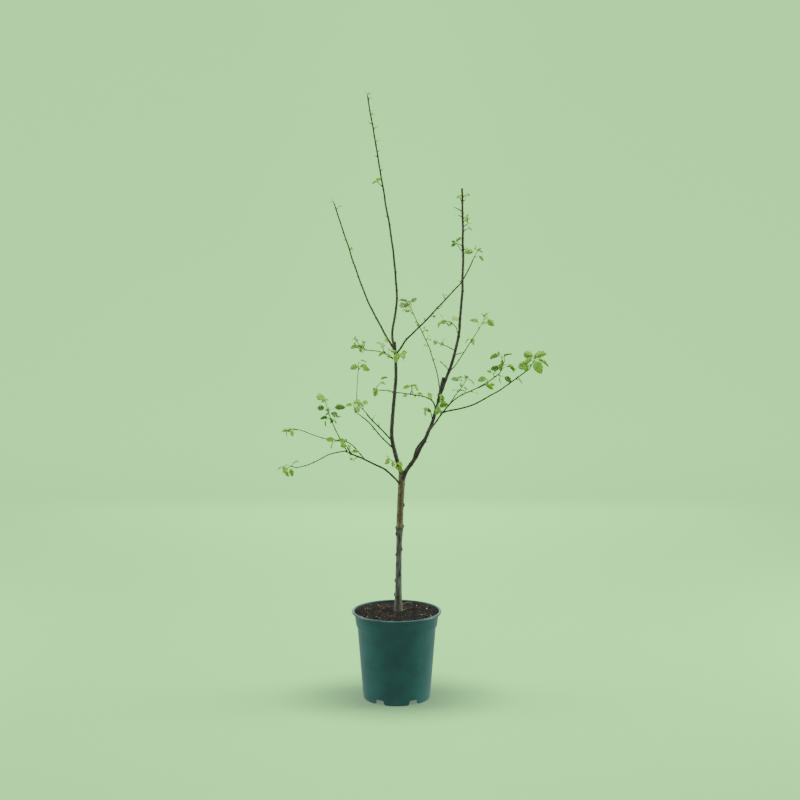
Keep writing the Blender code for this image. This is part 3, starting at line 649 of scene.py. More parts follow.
def limb_tree():
    """Sweeps a circle along lines, and pushes the skin out by lengthwise ridges and by lumps."""
    tree, source = new_tree("limb sweep",
                            {"Sides": "Int", "Relief": "Float", "Material": "Material"})
    curve = add(tree, "GeometryNodeMeshToCurve", values={"Mesh": source["Geometry"]})
    length = add(tree, "GeometryNodeSplineParameter").outputs["Length"]
    along = add(tree, "GeometryNodeStoreNamedAttribute", {"data_type": "FLOAT"},
                {"Geometry": curve.outputs[0], "Name": "along", "Value": length})
    circle = add(tree, "GeometryNodeCurvePrimitiveCircle",
                 values={"Resolution": source["Sides"], "Radius": 1.0})
    here = add(tree, "GeometryNodeInputPosition").outputs[0]
    around = add(tree, "GeometryNodeStoreNamedAttribute", {"data_type": "FLOAT_VECTOR"},
                 {"Geometry": circle.outputs["Curve"], "Name": "around", "Value": here})
    radius = add(tree, "GeometryNodeInputNamedAttribute", {"data_type": "FLOAT"},
                 {"Name": "girth"}).outputs[0]
    swept = add(tree, "GeometryNodeCurveToMesh",
                values={"Curve": along.outputs[0], "Profile Curve": around.outputs[0],
                        "Scale": radius, "Fill Caps": True})

    way = add(tree, "GeometryNodeInputNamedAttribute", {"data_type": "FLOAT"},
              {"Name": "along"}).outputs[0]
    start = add(tree, "GeometryNodeInputNamedAttribute", {"data_type": "FLOAT"},
                {"Name": "start"}).outputs[0]
    turn = add(tree, "GeometryNodeInputNamedAttribute", {"data_type": "FLOAT_VECTOR"},
               {"Name": "around"})
    down = add(tree, "ShaderNodeMath", {"operation": "ADD"}, {0: way, 1: start})
    across = add(tree, "ShaderNodeVectorMath", {"operation": "SCALE"},
                 {0: turn.outputs[0], "Scale": radius})
    sides = add(tree, "ShaderNodeSeparateXYZ", values={0: across.outputs[0]})
    place = add(tree, "ShaderNodeCombineXYZ",
                values={0: sides.outputs[0], 1: sides.outputs[1], 2: down.outputs[0]})
    marked = add(tree, "GeometryNodeStoreNamedAttribute", {"data_type": "FLOAT_VECTOR"},
                 {"Geometry": swept.outputs[0], "Name": "bark", "Value": place.outputs[0]})

    skin = add(tree, "GeometryNodeInputNamedAttribute", {"data_type": "FLOAT_VECTOR"},
               {"Name": "bark"}).outputs[0]
    drawn_out = add(tree, "ShaderNodeVectorMath", {"operation": "MULTIPLY"},
                    {0: skin, 1: (1.0, 1.0, 0.3)})
    ridges = add(tree, "ShaderNodeTexNoise",
                 values={"Vector": drawn_out.outputs[0], "Scale": RIDGES_PER_M, "Detail": 3.0})
    lumps = add(tree, "ShaderNodeTexNoise",
                values={"Vector": skin, "Scale": LUMPS_PER_M, "Detail": 1.0})
    both = add(tree, "ShaderNodeMath", {"operation": "ADD"},
               {0: ridges.outputs[0], 1: lumps.outputs[0]})
    height = add(tree, "ShaderNodeMath", {"operation": "SUBTRACT"}, {0: both.outputs[0], 1: 1.0})
    depth = add(tree, "ShaderNodeMath", {"operation": "MULTIPLY"}, {0: radius, 1: source["Relief"]})
    push = add(tree, "ShaderNodeMath", {"operation": "MULTIPLY"},
               {0: height.outputs[0], 1: depth.outputs[0]})
    out = add(tree, "GeometryNodeInputNormal").outputs[0]
    offset = add(tree, "ShaderNodeVectorMath", {"operation": "SCALE"},
                 {0: out, "Scale": push.outputs[0]})
    moved = add(tree, "GeometryNodeSetPosition",
                values={"Geometry": marked.outputs[0], "Offset": offset.outputs[0]})
    smooth = add(tree, "GeometryNodeSetShadeSmooth", values={"Geometry": moved.outputs[0]})
    end_tree(tree, smooth.outputs[0], source["Material"])
    return tree


LIMB_TREE = limb_tree()
PATTERN_SHIFT = 0.37
SHARP_DEG = 55


def line_mesh(name, courses):
    """The courses as one mesh of edges, with a radius and the pattern's start on each point."""
    points, edges, radii, starts = [], [], [], []
    for k, course in enumerate(courses):
        edges += [(len(points) + i, len(points) + i + 1) for i in range(len(course.line) - 1)]
        points += course.line
        radii += course.radii
        starts += [k * PATTERN_SHIFT] * len(course.line)
    mesh = bpy.data.meshes.new(name)
    mesh.from_pydata(points, edges, [])
    for label, values in (("girth", radii), ("start", starts)):
        mesh.attributes.new(label, "FLOAT", "POINT").data.foreach_set("value", values)
    return mesh


def swept(name, courses, sides, relief_depth, material):
    """One piece from courses, each swept into a closed limb."""
    piece = new_object(name, line_mesh(name, courses))
    run_tree(LIMB_TREE, piece, {"Sides": sides, "Relief": relief_depth, "Material": material})
    piece.data.set_sharp_from_angle(angle=math.radians(SHARP_DEG))
    return piece


# %% [markdown]
# ## Bark
#
# The tree is grafted. Below the union the rootstock is slate grey, smooth and a little thinner;
# above it the scion is olive brown, and a dark corky line parts the two. Both have lengthwise
# streaks, pale specks of lenticels and thin grey bloom. Younger wood is darker and smoother, with
# a finer grain.

# %% Bark materials
BARK_IOR = 1.38
LENTICEL = linear("#857d66")


def bark_material(name, dark, light, bloom, roughness, grain, depth):
    """Bark: streaks as wide as the grain, a film of bloom, and pale raised lenticels."""
    material, tree, shader, place = new_material(name, roughness, BARK_IOR)
    skin = add(tree, "ShaderNodeAttribute", {"attribute_name": "bark"}).outputs["Vector"]
    drawn_out = add(tree, "ShaderNodeVectorMath", {"operation": "MULTIPLY"},
                    {0: skin, 1: (1.0, 1.0, 0.22)})
    streaks = patches(tree, drawn_out.outputs[0], grain, linear(dark), linear(light), 0.36, 0.66,
                      4.0)
    film = add(tree, "ShaderNodeTexNoise",
               values={"Vector": skin, "Scale": 1 / (9 * grain), "Detail": 3.0})
    cover = add(tree, "ShaderNodeMapRange",
                values={"Value": film.outputs[0], "From Min": 0.5, "From Max": 0.72,
                        "To Max": 0.55})
    colour = add(tree, "ShaderNodeMix", {"data_type": "RGBA"},
                 {0: cover.outputs[0], 6: streaks, 7: linear(bloom)})
    flat = add(tree, "ShaderNodeVectorMath", {"operation": "MULTIPLY"},
               {0: skin, 1: (1.0, 1.0, 1.5)})
    specks = add(tree, "ShaderNodeTexVoronoi",
                 values={"Vector": flat.outputs[0], "Scale": 1 / (2.6 * grain)})
    lenticels = add(tree, "ShaderNodeMapRange",
                    values={"Value": specks.outputs["Distance"], "From Min": 0.2,
                            "From Max": 0.12, "To Max": 0.45})
    spotted = add(tree, "ShaderNodeMix", {"data_type": "RGBA"},
                  {0: lenticels.outputs[0], 6: colour.outputs[2], 7: LENTICEL})
    fine = add(tree, "ShaderNodeTexNoise",
               values={"Vector": drawn_out.outputs[0], "Scale": 2 / grain, "Detail": 5.0})
    raised = add(tree, "ShaderNodeMath", {"operation": "ADD"},
                 {0: fine.outputs[0], 1: lenticels.outputs[0]})
    relief(tree, shader, raised.outputs[0], depth)
    return material, tree, shader, spotted.outputs[2], place


# The corky line of the graft, as a height in metres.
GRAFT_LINE = 0.4285
# Bark of the grafted stem: olive-brown scion over slate-grey rootstock, with a corky graft line.
STEM_BARK, tree, shader, scion, place = bark_material(
    "grafted stem bark", "#393722", "#6f6947", "#86826a", 0.75, 0.0016, 0.0003)
heights = add(tree, "ShaderNodeSeparateXYZ", values={0: place}).outputs[2]
wander = add(tree, "ShaderNodeTexNoise", values={"Vector": place, "Scale": 160.0}).outputs[0]
wavy = add(tree, "ShaderNodeMath", {"operation": "MULTIPLY_ADD"},
           {0: wander, 1: 0.006, 2: heights}).outputs[0]
along = add(tree, "ShaderNodeVectorMath", {"operation": "MULTIPLY"},
            {0: place, 1: (1.0, 1.0, 0.15)}).outputs[0]
root_colour = patches(tree, along, 0.0035, linear("#33352f"), linear("#72746a"), 0.36, 0.66, 4.0)
above = add(tree, "ShaderNodeMapRange",
            values={"Value": wavy, "From Min": GRAFT_LINE, "From Max": GRAFT_LINE + 0.006})
foot = add(tree, "ShaderNodeMapRange",
           values={"Value": wavy, "From Min": 0.29, "From Max": 0.22, "To Max": 0.6})
mossy = add(tree, "ShaderNodeMix", {"data_type": "RGBA"},
            {0: foot.outputs[0], 6: root_colour, 7: linear("#474d33")})
both_woods = add(tree, "ShaderNodeMix", {"data_type": "RGBA"},
                 {0: above.outputs[0], 6: mossy.outputs[2], 7: scion})
away = add(tree, "ShaderNodeMath", {"operation": "SUBTRACT"}, {0: wavy, 1: GRAFT_LINE + 0.004})
apart = add(tree, "ShaderNodeMath", {"operation": "ABSOLUTE"}, {0: away.outputs[0]})
corky = add(tree, "ShaderNodeMapRange",
            values={"Value": apart.outputs[0], "From Min": 0.0050, "From Max": 0.0010,
                    "To Max": 0.6})
stem_colour = add(tree, "ShaderNodeMix", {"data_type": "RGBA"},
                  {0: corky.outputs[0], 6: both_woods.outputs[2], 7: linear("#1c2120")})
scar = add(tree, "ShaderNodeAttribute", {"attribute_name": "scar"}).outputs["Fac"]
scarred = add(tree, "ShaderNodeMapRange",
              values={"Value": scar, "From Min": 0.25, "From Max": 0.8, "To Max": 0.85})
knotty = add(tree, "ShaderNodeMix", {"data_type": "RGBA"},
             {0: scarred.outputs[0], 6: stem_colour.outputs[2], 7: linear("#221d14")})
tree.links.new(knotty.outputs[2], shader.inputs["Base Color"])

# Bark of the boughs: two-year wood, dark grey brown and nearly smooth.
BOUGH_BARK, tree, shader, colour, _ = bark_material(
    "bough bark", "#23211b", "#4d473c", "#6e6b5e", 0.72, 0.0011, 0.0002)
tree.links.new(colour, shader.inputs["Base Color"])

# Bark of last year's twigs: thin, nearly black under a grey skin.
TWIG_BARK, tree, shader, colour, _ = bark_material(
    "young twig bark", "#151513", "#302e2a", "#484843", 0.75, 0.0009, 0.0001)
tree.links.new(colour, shader.inputs["Base Color"])

# Wood of an old pruning cut: weathered to a mottled buff, with an open grain.
CUT_WOOD, tree, shader, place = new_material("weathered cut wood", 0.8)
cut_colour = patches(tree, place, 0.0009, linear("#6b5f48"), linear("#b0a07c"))
tree.links.new(cut_colour, shader.inputs["Base Color"])
grain = add(tree, "ShaderNodeTexNoise", values={"Vector": place, "Scale": 2500.0, "Detail": 3.0})
relief(tree, shader, grain.outputs[0], 0.0001)
print("bark of three ages and cut wood")

# %% [markdown]
# ## Trunk and boughs
#
# The drawn limbs run through the solids' lines. A shoot is a little thicker at each bud, flares
# into a collar where it leaves an older limb, and shows a ring where one year's growth ended. The
# stem has scars and knobs from shoots that were rubbed off, each set at its own height and side.

# %% Fine courses through the solids' lines
BUD_SPACING = (17.0, 29.0)
FIRST_BUD = (14.0, 26.0)
BARE_END = 8.0
BUD_SWELL = 0.13
BUD_SWELL_WIDTH = 2.2
COLLAR_FLARE = 0.5
COLLAR_RADII = 1.3
YEAR_RING = 0.16
YEAR_RING_PLACE = 2.0
YEAR_RING_WIDTH = 1.6
FADE_RUN = 3.0
CUT_RUN = 4.0
CUT_TIP = 0.45
SHOOT_JOIN = 1.1
OVERLAP = 3.0
OVERLAP_WIDTH = 0.8

# The limbs that another carries on, those that end in a mass of leaves, and those cut off flat.
carried = {limb.parent: limb for limb in LIMBS if limb.at == 1.0}
ending = {mass.limb for mass in MASSES if mass.at == 1.0}
PRUNED = ("leader", "right_limb", "right_limb_top")


def radius_at(shape, share):
    """A course's radius at a share of its steps, from 0 to 1."""
    place = share * (len(shape.radii) - 1)
    i = min(int(place), len(shape.radii) - 2)
    return shape.radii[i] + (shape.radii[i + 1] - shape.radii[i]) * (place - i)


def bud_places(limb, length):
    """How far along a limb its buds sit, in metres."""
    rng = random.Random(limb.name + " buds")
    place = rng.uniform(*FIRST_BUD)
    found = []
    while place * MM < length - BARE_END * MM:
        found.append(place * MM)
        place += rng.uniform(*BUD_SPACING)
    return found


def bump(distance, width):
    """A soft swelling: 1 in the middle, and fading to 0 past the width."""
    return math.exp(-(distance / width) ** 2)


def fine_limb(limb):
    """The course of a drawn limb, with its collar, the swellings at its buds and its end."""
    shape = shapes[limb.name]
    line = smooth_course(shape.line, FINE_SPACING * MM)
    length = line_length(line)
    last = len(line) - 1
    parent_radius = radius_at(shapes[limb.parent], limb.at)
    places = bud_places(limb, length)
    radii = []
    for k in range(last + 1):
        way = length * k / last
        radius = radius_at(shape, max(k / last, min(1.0, 1 / (len(shape.radii) - 1))))
        radius *= 1 + sum(BUD_SWELL * bump(way - place, BUD_SWELL_WIDTH * MM) for place in places)
        if limb.at < 1.0:
            past = max(0.0, way - parent_radius)
            radius *= 1 + COLLAR_FLARE * math.exp(-past / (COLLAR_RADII * radius))
        else:
            radius *= 1 + YEAR_RING * bump(way - YEAR_RING_PLACE * MM, YEAR_RING_WIDTH * MM)
        left = length - way
        if limb.name in carried or limb.name in ending:
            onward = carried[limb.name].foot / 2 * MM if limb.name in carried else SHOOT_JOIN * MM
            radius += (min(onward, radius) - radius) * math.exp(-left / (FADE_RUN * MM))
        elif limb.name not in PRUNED:
            radius *= min(1.0, CUT_TIP + left / (CUT_RUN * MM))
        radii.append(radius)
    if limb.at == 1.0:
        back = (line[0] - line[1]).normalized()
        line.insert(0, line[0] + back * OVERLAP * MM)
        radii.insert(0, radii[0] * OVERLAP_WIDTH)
    return Course(line, radii)


TRUNK_FINE = 1.8
TRUNK_SUNK = 6.0
SUNK_FLARE = 1.1
COLLAR_RUN = 20.0
COLLAR_END = 0.96


def fine_trunk():
    """The stem's course: from below the compost to a collar that runs up over the leader's foot."""
    line = smooth_course([mm(p) for p in TRUNK_COURSE], TRUNK_FINE * MM)
    radii = [trunk_radius(p.z / MM - TRUNK_FOOT) * MM for p in line]
    leader = smooth_course(shapes["leader"].line, TRUNK_FINE * MM)
    steps = round(COLLAR_RUN / TRUNK_FINE)
    inside = radius_at(shapes["leader"], 0.1) * COLLAR_END
    crown = radii[-1]
    for k in range(1, steps + 1):
        line.append(leader[k])
        radii.append(crown + (inside - crown) * (k / steps) ** TAPER)
    line.insert(0, line[0] - Vector((0, 0, TRUNK_SUNK * MM)))
    radii.insert(0, radii[0] * SUNK_FLARE)
    return Course(line, radii)


# Each knob's height above the pot's foot, its side as an angle in degrees from +X seen from
# above, its width and its rise. Lengths are millimetres.
KNOBS = (
    (490, -15, 6.0, 3.4), (436, -12, 6.0, 3.0), (433, 188, 5.0, 2.6), (417, 198, 7.0, 2.6),
    (377, -8, 5.5, 3.0), (364, 200, 6.0, 3.0), (316, -65, 6.0, 2.6), (297, 186, 5.5, 2.8),
    (262, 182, 6.5, 3.0), (256, -115, 6.0, 1.6), (515, 140, 6.0, 2.6), (470, 95, 5.5, 2.6),
    (350, 80, 5.5, 2.4), (285, 60, 5.5, 2.4), (540, 20, 6.0, 1.6), (402, 110, 5.5, 2.2),
)
# How far a knob and its scar spread, as shares of its width. Both are drawn out up and down the
# stem, because heights count for less than widths.
KNOB_SPREAD, SCAR_SPREAD, KNOB_STRETCH = 0.5, 0.6, 0.75


def raise_knobs(piece, line):
    """Pushes the stem's skin out at each knob, and marks its scar for the bark's colour."""
    centres = []
    for height, side, width, rise in KNOBS:
        middle = min(line, key=lambda p: abs(p.z - height * MM))
        out = Vector((math.cos(math.radians(side)), math.sin(math.radians(side)), 0.0))
        skin = middle + out * trunk_radius(height - TRUNK_FOOT) * MM
        centres.append((skin, out, width * MM, rise * MM))
    scars = []
    for vert in piece.data.vertices:
        scar = 0.0
        for skin, out, width, rise in centres:
            away = vert.co - skin
            away.z *= KNOB_STRETCH
            if away.length < 2 * width:
                vert.co += out * rise * bump(away.length, width * KNOB_SPREAD)
                scar = max(scar, bump(away.length, width * SCAR_SPREAD))
        scars.append(scar)
    piece.data.attributes.new("scar", "FLOAT", "POINT").data.foreach_set("value", scars)


CUT_SLOPE = 0.5
CUT_AREA = 8e-6


def mark_cuts(piece):
    """Gives the wide flat ends that face up the look of cut wood."""
    piece.data.materials.append(CUT_WOOD)
    for face in piece.data.polygons:
        if face.loop_total > 4 and face.normal.z > CUT_SLOPE and face.area > CUT_AREA:
            face.material_index = 1


# How many sides each kind of limb has, and how deep its relief is as a share of its radius.
STEM_SIDES, STEM_RELIEF = 44, 0.14
BOUGH_SIDES, BOUGH_RELIEF = 22, 0.16
TWIG_SIDES, TWIG_RELIEF = 12, 0.14
SHOOT_SIDES, SHOOT_RELIEF = 8, 0.2
STALK_SIDES, STALK_RELIEF = 6, 0.05
THICK_ABOVE = 5.0

trunk_course = fine_trunk()
trunk_bark = swept("trunk_bark", [trunk_course], STEM_SIDES, STEM_RELIEF, STEM_BARK)
raise_knobs(trunk_bark, trunk_course.line)
wear(trunk_bark, "stem_bark", "trunk")

limb_courses = {limb.name: fine_limb(limb) for limb in LIMBS}
thick = [limb.name for limb in LIMBS if limb.foot > THICK_ABOVE]
thin = [limb.name for limb in LIMBS if limb.foot <= THICK_ABOVE]
bough_bark = swept("bough_bark", [limb_courses[name] for name in thick], BOUGH_SIDES, BOUGH_RELIEF,
                   BOUGH_BARK)
mark_cuts(bough_bark)
wear(bough_bark, "bough_bark", *thick)
twig_bark = swept("twig_bark", [limb_courses[name] for name in thin], TWIG_SIDES, TWIG_RELIEF,
                  TWIG_BARK)
wear(twig_bark, "bough_bark", *thin)

# %% [markdown]
# ## Twigs, spurs and stalks
#
# The masses' stems and spurs are drawn as thin shoots, and each leaf gets a stalk that arches and
# runs on under its blade as the midrib. The rule is also carried on to growth that is too small
# for a solid: short spurs with a bud or a few mouse-ear leaves, along the boughs that look bare.
# Their places along each bough are in a table, and a seed per spur draws their leaves.

# %% Small spurs by the same rule
# share: how far along the limb. side: 1 to the right, -1 to the left, 0 straight on from the tip.
# reach: the spur's length in mm. count and leaf: how many leaves, and their length in mm.
Spurlet = namedtuple("Spurlet", "limb share side reach count leaf tint")

SPURLETS = [Spurlet(*row) for row in (
    ("leader_top", 1.0, 0, 2, 3, 7, "fresh"), ("leader_top", 0.983, 1, 2, 2, 7, "fresh"),
    ("leader_top", 0.92, 1, 5, 2, 7, "pale"), ("leader_top", 0.885, -1, 7, 1, 6, "dull"),
    ("leader_top", 0.865, 1, 4, 2, 7, "dull"), ("leader_top", 0.812, 1, 3, 2, 7, "fresh"),
    ("leader_top", 0.775, 1, 4, 2, 6, "pale"), ("leader_top", 0.755, -1, 4, 1, 6, "dull"),
    ("leader_top", 0.70, 1, 5, 1, 6, "pale"), ("leader_top", 0.52, -1, 3, 1, 5, "dull"),
    ("left_top_bough", 0.958, 1, 5, 2, 8, "dull"), ("left_top_bough", 0.76, -1, 3, 0, 0, "dull"),
    ("left_top_bough", 0.693, 1, 3, 3, 7, "fresh"), ("left_top_bough", 0.61, -1, 2, 0, 0, "dull"),
    ("right_limb_top", 0.96, -1, 4, 2, 8, "deep"), ("right_limb_top", 0.938, 1, 5, 1, 8, "deep"),
    ("right_limb_top", 0.958, 1, 8, 2, 9, "fresh"), ("right_limb_top", 0.892, -1, 20, 0, 0, "dull"),
    ("right_limb_top", 0.865, -1, 8, 0, 0, "dull"), ("right_limb_top", 0.858, 1, 6, 2, 10, "fresh"),
    ("right_limb_top", 0.82, 1, 12, 2, 9, "deep"), ("right_limb_top", 0.73, -1, 13, 3, 12, "deep"),
    ("right_limb_top", 0.71, 1, 5, 2, 9, "fresh"), ("right_limb_top", 0.212, 1, 22, 1, 6, "pale"),
    ("right_limb_top", 0.56, -1, 4, 1, 6, "dull"), ("crossing_bough", 0.42, 1, 3, 2, 8, "dull"),
    ("crossing_bough", 0.79, -1, 3, 1, 6, "pale"), ("leader", 0.62, -1, 4, 1, 6, "dull"),
    ("right_limb", 0.40, 1, 4, 1, 6, "pale"), ("low_left_bough", 0.80, -1, 9, 2, 7, "fresh"),
    ("low_right_bough", 0.45, 1, 4, 1, 7, "pale"), ("long_right_twig", 0.84, 1, 4, 2, 9, "pale"),
    ("low_left_bough", 0.93, 1, 5, 3, 15, "fresh"), ("low_left_bough", 0.87, -1, 6, 2, 12, "vivid"),
    ("back_right_twig", 0.97, 1, 7, 2, 11, "fresh"), ("back_right_twig", 0.84, 1, 6, 2, 8, "pale"),
    ("back_right_twig", 0.74, -1, 4, 2, 8, "fresh"),
    ("back_right_twig", 0.52, 1, 3, 1, 7, "bronze"), ("crossing_bough", 0.36, -1, 5, 2, 7, "fresh"),
    ("crossing_bough", 0.50, 1, 4, 1, 7, "fresh"), ("short_right_twig", 0.92, 1, 8, 3, 11, "dull"),
    ("short_right_twig", 0.8, -1, 5, 2, 10, "dull"),
    ("leafy_right_twig", 0.35, -1, 3, 2, 9, "fresh"),
    ("leafy_right_twig", 0.44, 1, 7, 2, 8, "pale"), ("leafy_right_twig", 0.97, 1, 7, 2, 18, "deep"),
    ("leafy_right_twig", 0.9, -1, 9, 2, 16, "vivid"), ("cross_twig", 0.56, -1, 5, 3, 11, "dull"),
    ("cross_twig", 0.43, 1, 5, 2, 11, "fresh"), ("upper_left_twig", 0.72, 1, 6, 2, 8, "fresh"),
    ("upper_left_twig", 0.5, 1, 4, 1, 7, "deep"), ("inner_left_twig", 0.6, -1, 3, 1, 7, "pale"),
    ("rising_left_twig", 0.95, 1, 6, 3, 13, "deep"), ("thin_right_twig", 0.97, 1, 4, 2, 9, "fresh"),
    ("back_left_twig", 0.95, -1, 8, 2, 13, "fresh"),
    ("long_left_twig", 0.97, -1, 5, 2, 13, "fresh"), ("cross_twig", 0.78, -1, 3, 1, 7, "pale"),
)]

SPURLET_FORWARD = 0.55
FIRST_SEED, SEED_STEP = 7, 31


def grow_spurlet(spurlet, number):
    """A small spur: its foot, its end, its direction and its leaves."""
    rng = random.Random(FIRST_SEED + number * SEED_STEP)
    course = limb_courses[spurlet.limb]
    foot, heading = place_on(course.line, spurlet.share)
    sideways = Vector((spurlet.side, rng.uniform(-0.5, 0.3), 0.0))
    sideways -= heading * sideways.dot(heading)
    out = heading
    if spurlet.side:
        out = (heading * SPURLET_FORWARD + sideways.normalized()).normalized()
    skin = course.radii[round(spurlet.share * (len(course.radii) - 1))] if spurlet.side else 0.0
    end = foot + out * (skin + spurlet.reach * MM)
    turn = rng.uniform(0, 2 * math.pi)
    return foot, end, out, leaves_round(rng, end, out, spurlet.count, spurlet.leaf * MM, turn)


spurlets = [(spurlet, *grow_spurlet(spurlet, k)) for k, spurlet in enumerate(SPURLETS)]

# Every spray: the tint of its leaves, its end, its direction and its leaves.
Spray = namedtuple("Spray", "tint end out leaves")
sprays = []
for mass in MASSES:
    tints = mass.tints.split()
    for k, (end, out, leaves) in enumerate(grown[mass.name][2]):
        sprays.append(Spray(tints[k % len(tints)], end, out, leaves))
for spurlet, _, end, out, leaves in spurlets:
    sprays.append(Spray(spurlet.tint, end, out, leaves))
print(len(sprays), "sprays with", sum(len(spray.leaves) for spray in sprays), "leaves")

# %% Shoots and stalks
# Radii and lengths are millimetres. SIDE_STEM_FOOT and STALK_ARCH are shares.
SHOOT_FOOT = 1.15
SHOOT_TIP = 0.8
STALK_RADIUS = 0.42
MIDRIB_RADIUS = 0.16
SPUR_RADII = (1.15, 0.95, 0.85)
SPURLET_RADII = (1.5, 1.1, 0.75)
THIN_STEP = 1.6
USUAL_LEAF = 20.0
STEM_SUNK = 2.0
SIDE_STEM_FOOT = 1.35
STALK_SUNK = 0.7
STALK_ARCH = 0.07
MIDRIB_DEPTH = 0.12


def tapered(points, radii_mm):
    """A course through a few points, with the radii in mm spread over it."""
    line = smooth_course(points, THIN_STEP * MM)
    knots = Course(points, [r * MM for r in radii_mm])
    return Course(line, [radius_at(knots, k / (len(line) - 1)) for k in range(len(line))])


def stem_course(mass):
    """A mass's stem, from inside its limb to its tip."""
    line = grown[mass.name][0]
    foot = min(radius_at(shapes[mass.limb], mass.at) / MM, SHOOT_FOOT)
    if mass.at == 1.0:
        line = [line[0] + (line[0] - line[1]).normalized() * STEM_SUNK * MM, *line]
    else:
        foot *= SIDE_STEM_FOOT
    steps = len(line) - 1
    radii = [foot] + [SHOOT_FOOT + (SHOOT_TIP - SHOOT_FOOT) * k / steps
                      for k in range(1, steps + 1)]
    return tapered(line, radii)


def stalk_course(leaf):
    """A leaf's stalk: it arches a little, then runs under the blade and fades out as its midrib."""
    scale = math.sqrt(leaf.length / (USUAL_LEAF * MM))
    base = leaf.root + leaf.out * leaf.stalk
    sag = leaf.up * leaf.stalk * STALK_ARCH
    below = leaf.up * MIDRIB_DEPTH * MM
    points = [leaf.root - leaf.out * STALK_SUNK * MM,
              leaf.root + leaf.out * leaf.stalk * 0.5 - sag,
              base - below,
              blade_point(leaf, 0.3, 0.0) - below,
              blade_point(leaf, 0.75, 0.0) - below * 0.7]
    widths = [STALK_RADIUS * 1.5, STALK_RADIUS, STALK_RADIUS * 0.85, MIDRIB_RADIUS * 1.3,
              MIDRIB_RADIUS * 0.5]
    return tapered(points, [width * scale for width in widths])


# Stalk of a young leaf: soft, pale green with a flush of red towards its foot.
STALK_SKIN, tree, shader, place = new_material("young leaf stalk", 0.45)
flush = patches(tree, place, 0.006, linear("#8fa455"), linear("#a8835a"), 0.5, 0.7)
tree.links.new(flush, shader.inputs["Base Color"])
hairs = add(tree, "ShaderNodeTexNoise", values={"Vector": place, "Scale": 3000.0})
relief(tree, shader, hairs.outputs[0], 0.00005)

shoots = [stem_course(mass) for mass in MASSES]
for mass in MASSES:
    shoots += [tapered([root, root.lerp(end, 0.5), end], SPUR_RADII)
               for root, end in grown[mass.name][1]]
for spurlet, foot, end, _, _ in spurlets:
    if spurlet.side:
        shoots.append(tapered([foot, foot.lerp(end, 0.5), end], SPURLET_RADII))
MASS_NODES = [mass.name for mass in MASSES]
fine_shoots = swept("fine_shoots", shoots, SHOOT_SIDES, SHOOT_RELIEF, TWIG_BARK)
wear(fine_shoots, "bough_bark", *MASS_NODES)
stalks = [stalk_course(leaf) for spray in sprays for leaf in spray.leaves]
leaf_stalks = swept("leaf_stalks", stalks, STALK_SIDES, STALK_RELIEF, STALK_SKIN)
wear(leaf_stalks, "leaf", *MASS_NODES)

# %% [markdown]
# ## Leaves
#
# A young apple leaf is oval with a short point, finely toothed, folded along its midrib and
# drooping towards its tip. It is fresh green above and paler and downy below. A leaf is a thin
# closed blade of a few dozen faces in its own outline, in five forms from open to rolled. The
# leaves are set on points by Geometry Nodes, and each spray has one plain tint, dealt out by the
# mass that it belongs to. The newest leaves are pale or bronze, and the deep tint is painted
# shade: the darker green of leaves that sit in shadow.

# %% The leaf blade in five forms
OUTLINE = ((0.07, 0.40), (0.19, 0.80), (0.33, 1.0), (0.47, 0.97), (0.61, 1.0), (0.74, 0.76),
           (0.86, 0.58), (0.94, 0.22))
# Four open forms and a rolled one, each with its fold and its width as shares of the usual ones,
# its ripple and how far its tip leans to one side, for a blade of length 1.
BLADE_FORMS = ((0.7, 0.94, 0.02, 0.0), (1.3, 0.86, 0.045, 0.05), (2.2, 0.74, 0.03, -0.06),
               (1.0, 1.0, 0.06, 0.1), (3.6, 0.5, 0.015, 0.0))
ROLLED_FORM = 4
ROLLED_BELOW = 6.0
FORM_MIX = 977
PAD_RISE = 0.012
RIB_DEPTH = 0.035


def blade_mesh(number):
    """A leaf of unit length along +Y, its upper side to +Z, with its underside's faces marked."""
    fold_share, width_share, ripple, hook = BLADE_FORMS[number]
    fold = BLADE_FOLD * fold_share
    width = BLADE_WIDTH / 2 * width_share
    bm = bmesh.new()
    under = bm.faces.layers.int.new("under")
    place = bm.verts.layers.float_vector.new("blade")

    def corner(share, side, lift=0.0):
        x = side * width
        wave = ripple * math.sin(share * 17 + number + 2 * side) * abs(side)
        z = fold * abs(x) - BLADE_SAG * share ** 2 + wave + lift
        made = bm.verts.new((x + hook * share ** 2, share, z))
        made[place] = (side, share, 0.0)
        return made

    base, tip = corner(0.0, 0.0), corner(1.0, 0.0)
    rows = [[corner(share, -half), corner(share, -half * 0.5, PAD_RISE), corner(share, 0.0),
             corner(share, half * 0.5, PAD_RISE), corner(share, half)] for share, half in OUTLINE]
    ribs = [corner(share, 0.0, -RIB_DEPTH) for share, _ in OUTLINE]
    tops = [(base, rows[0][k], rows[0][k + 1]) for k in range(4)]
    tops += [(rows[-1][k], tip, rows[-1][k + 1]) for k in range(4)]
    unders = [(base, ribs[0], rows[0][0]), (base, rows[0][4], ribs[0]),
              (rows[-1][0], ribs[-1], tip), (ribs[-1], rows[-1][4], tip)]
    for i in range(len(OUTLINE) - 1):
        low, high = rows[i], rows[i + 1]
        tops += [(low[k], high[k], high[k + 1], low[k + 1]) for k in range(4)]
        unders += [(low[0], ribs[i], ribs[i + 1], high[0]), (ribs[i], low[4], high[4], ribs[i + 1])]
    for corners in tops:
        bm.faces.new(corners)
    for corners in unders:
        bm.faces.new(corners)[under] = 1
    form = object_from(f"blade_form_{number}", bm)
    bpy.context.scene.collection.objects.unlink(form)
    return form


forms = bpy.data.collections.new("blade forms")
for number in range(len(BLADE_FORMS)):
    forms.objects.link(blade_mesh(number))
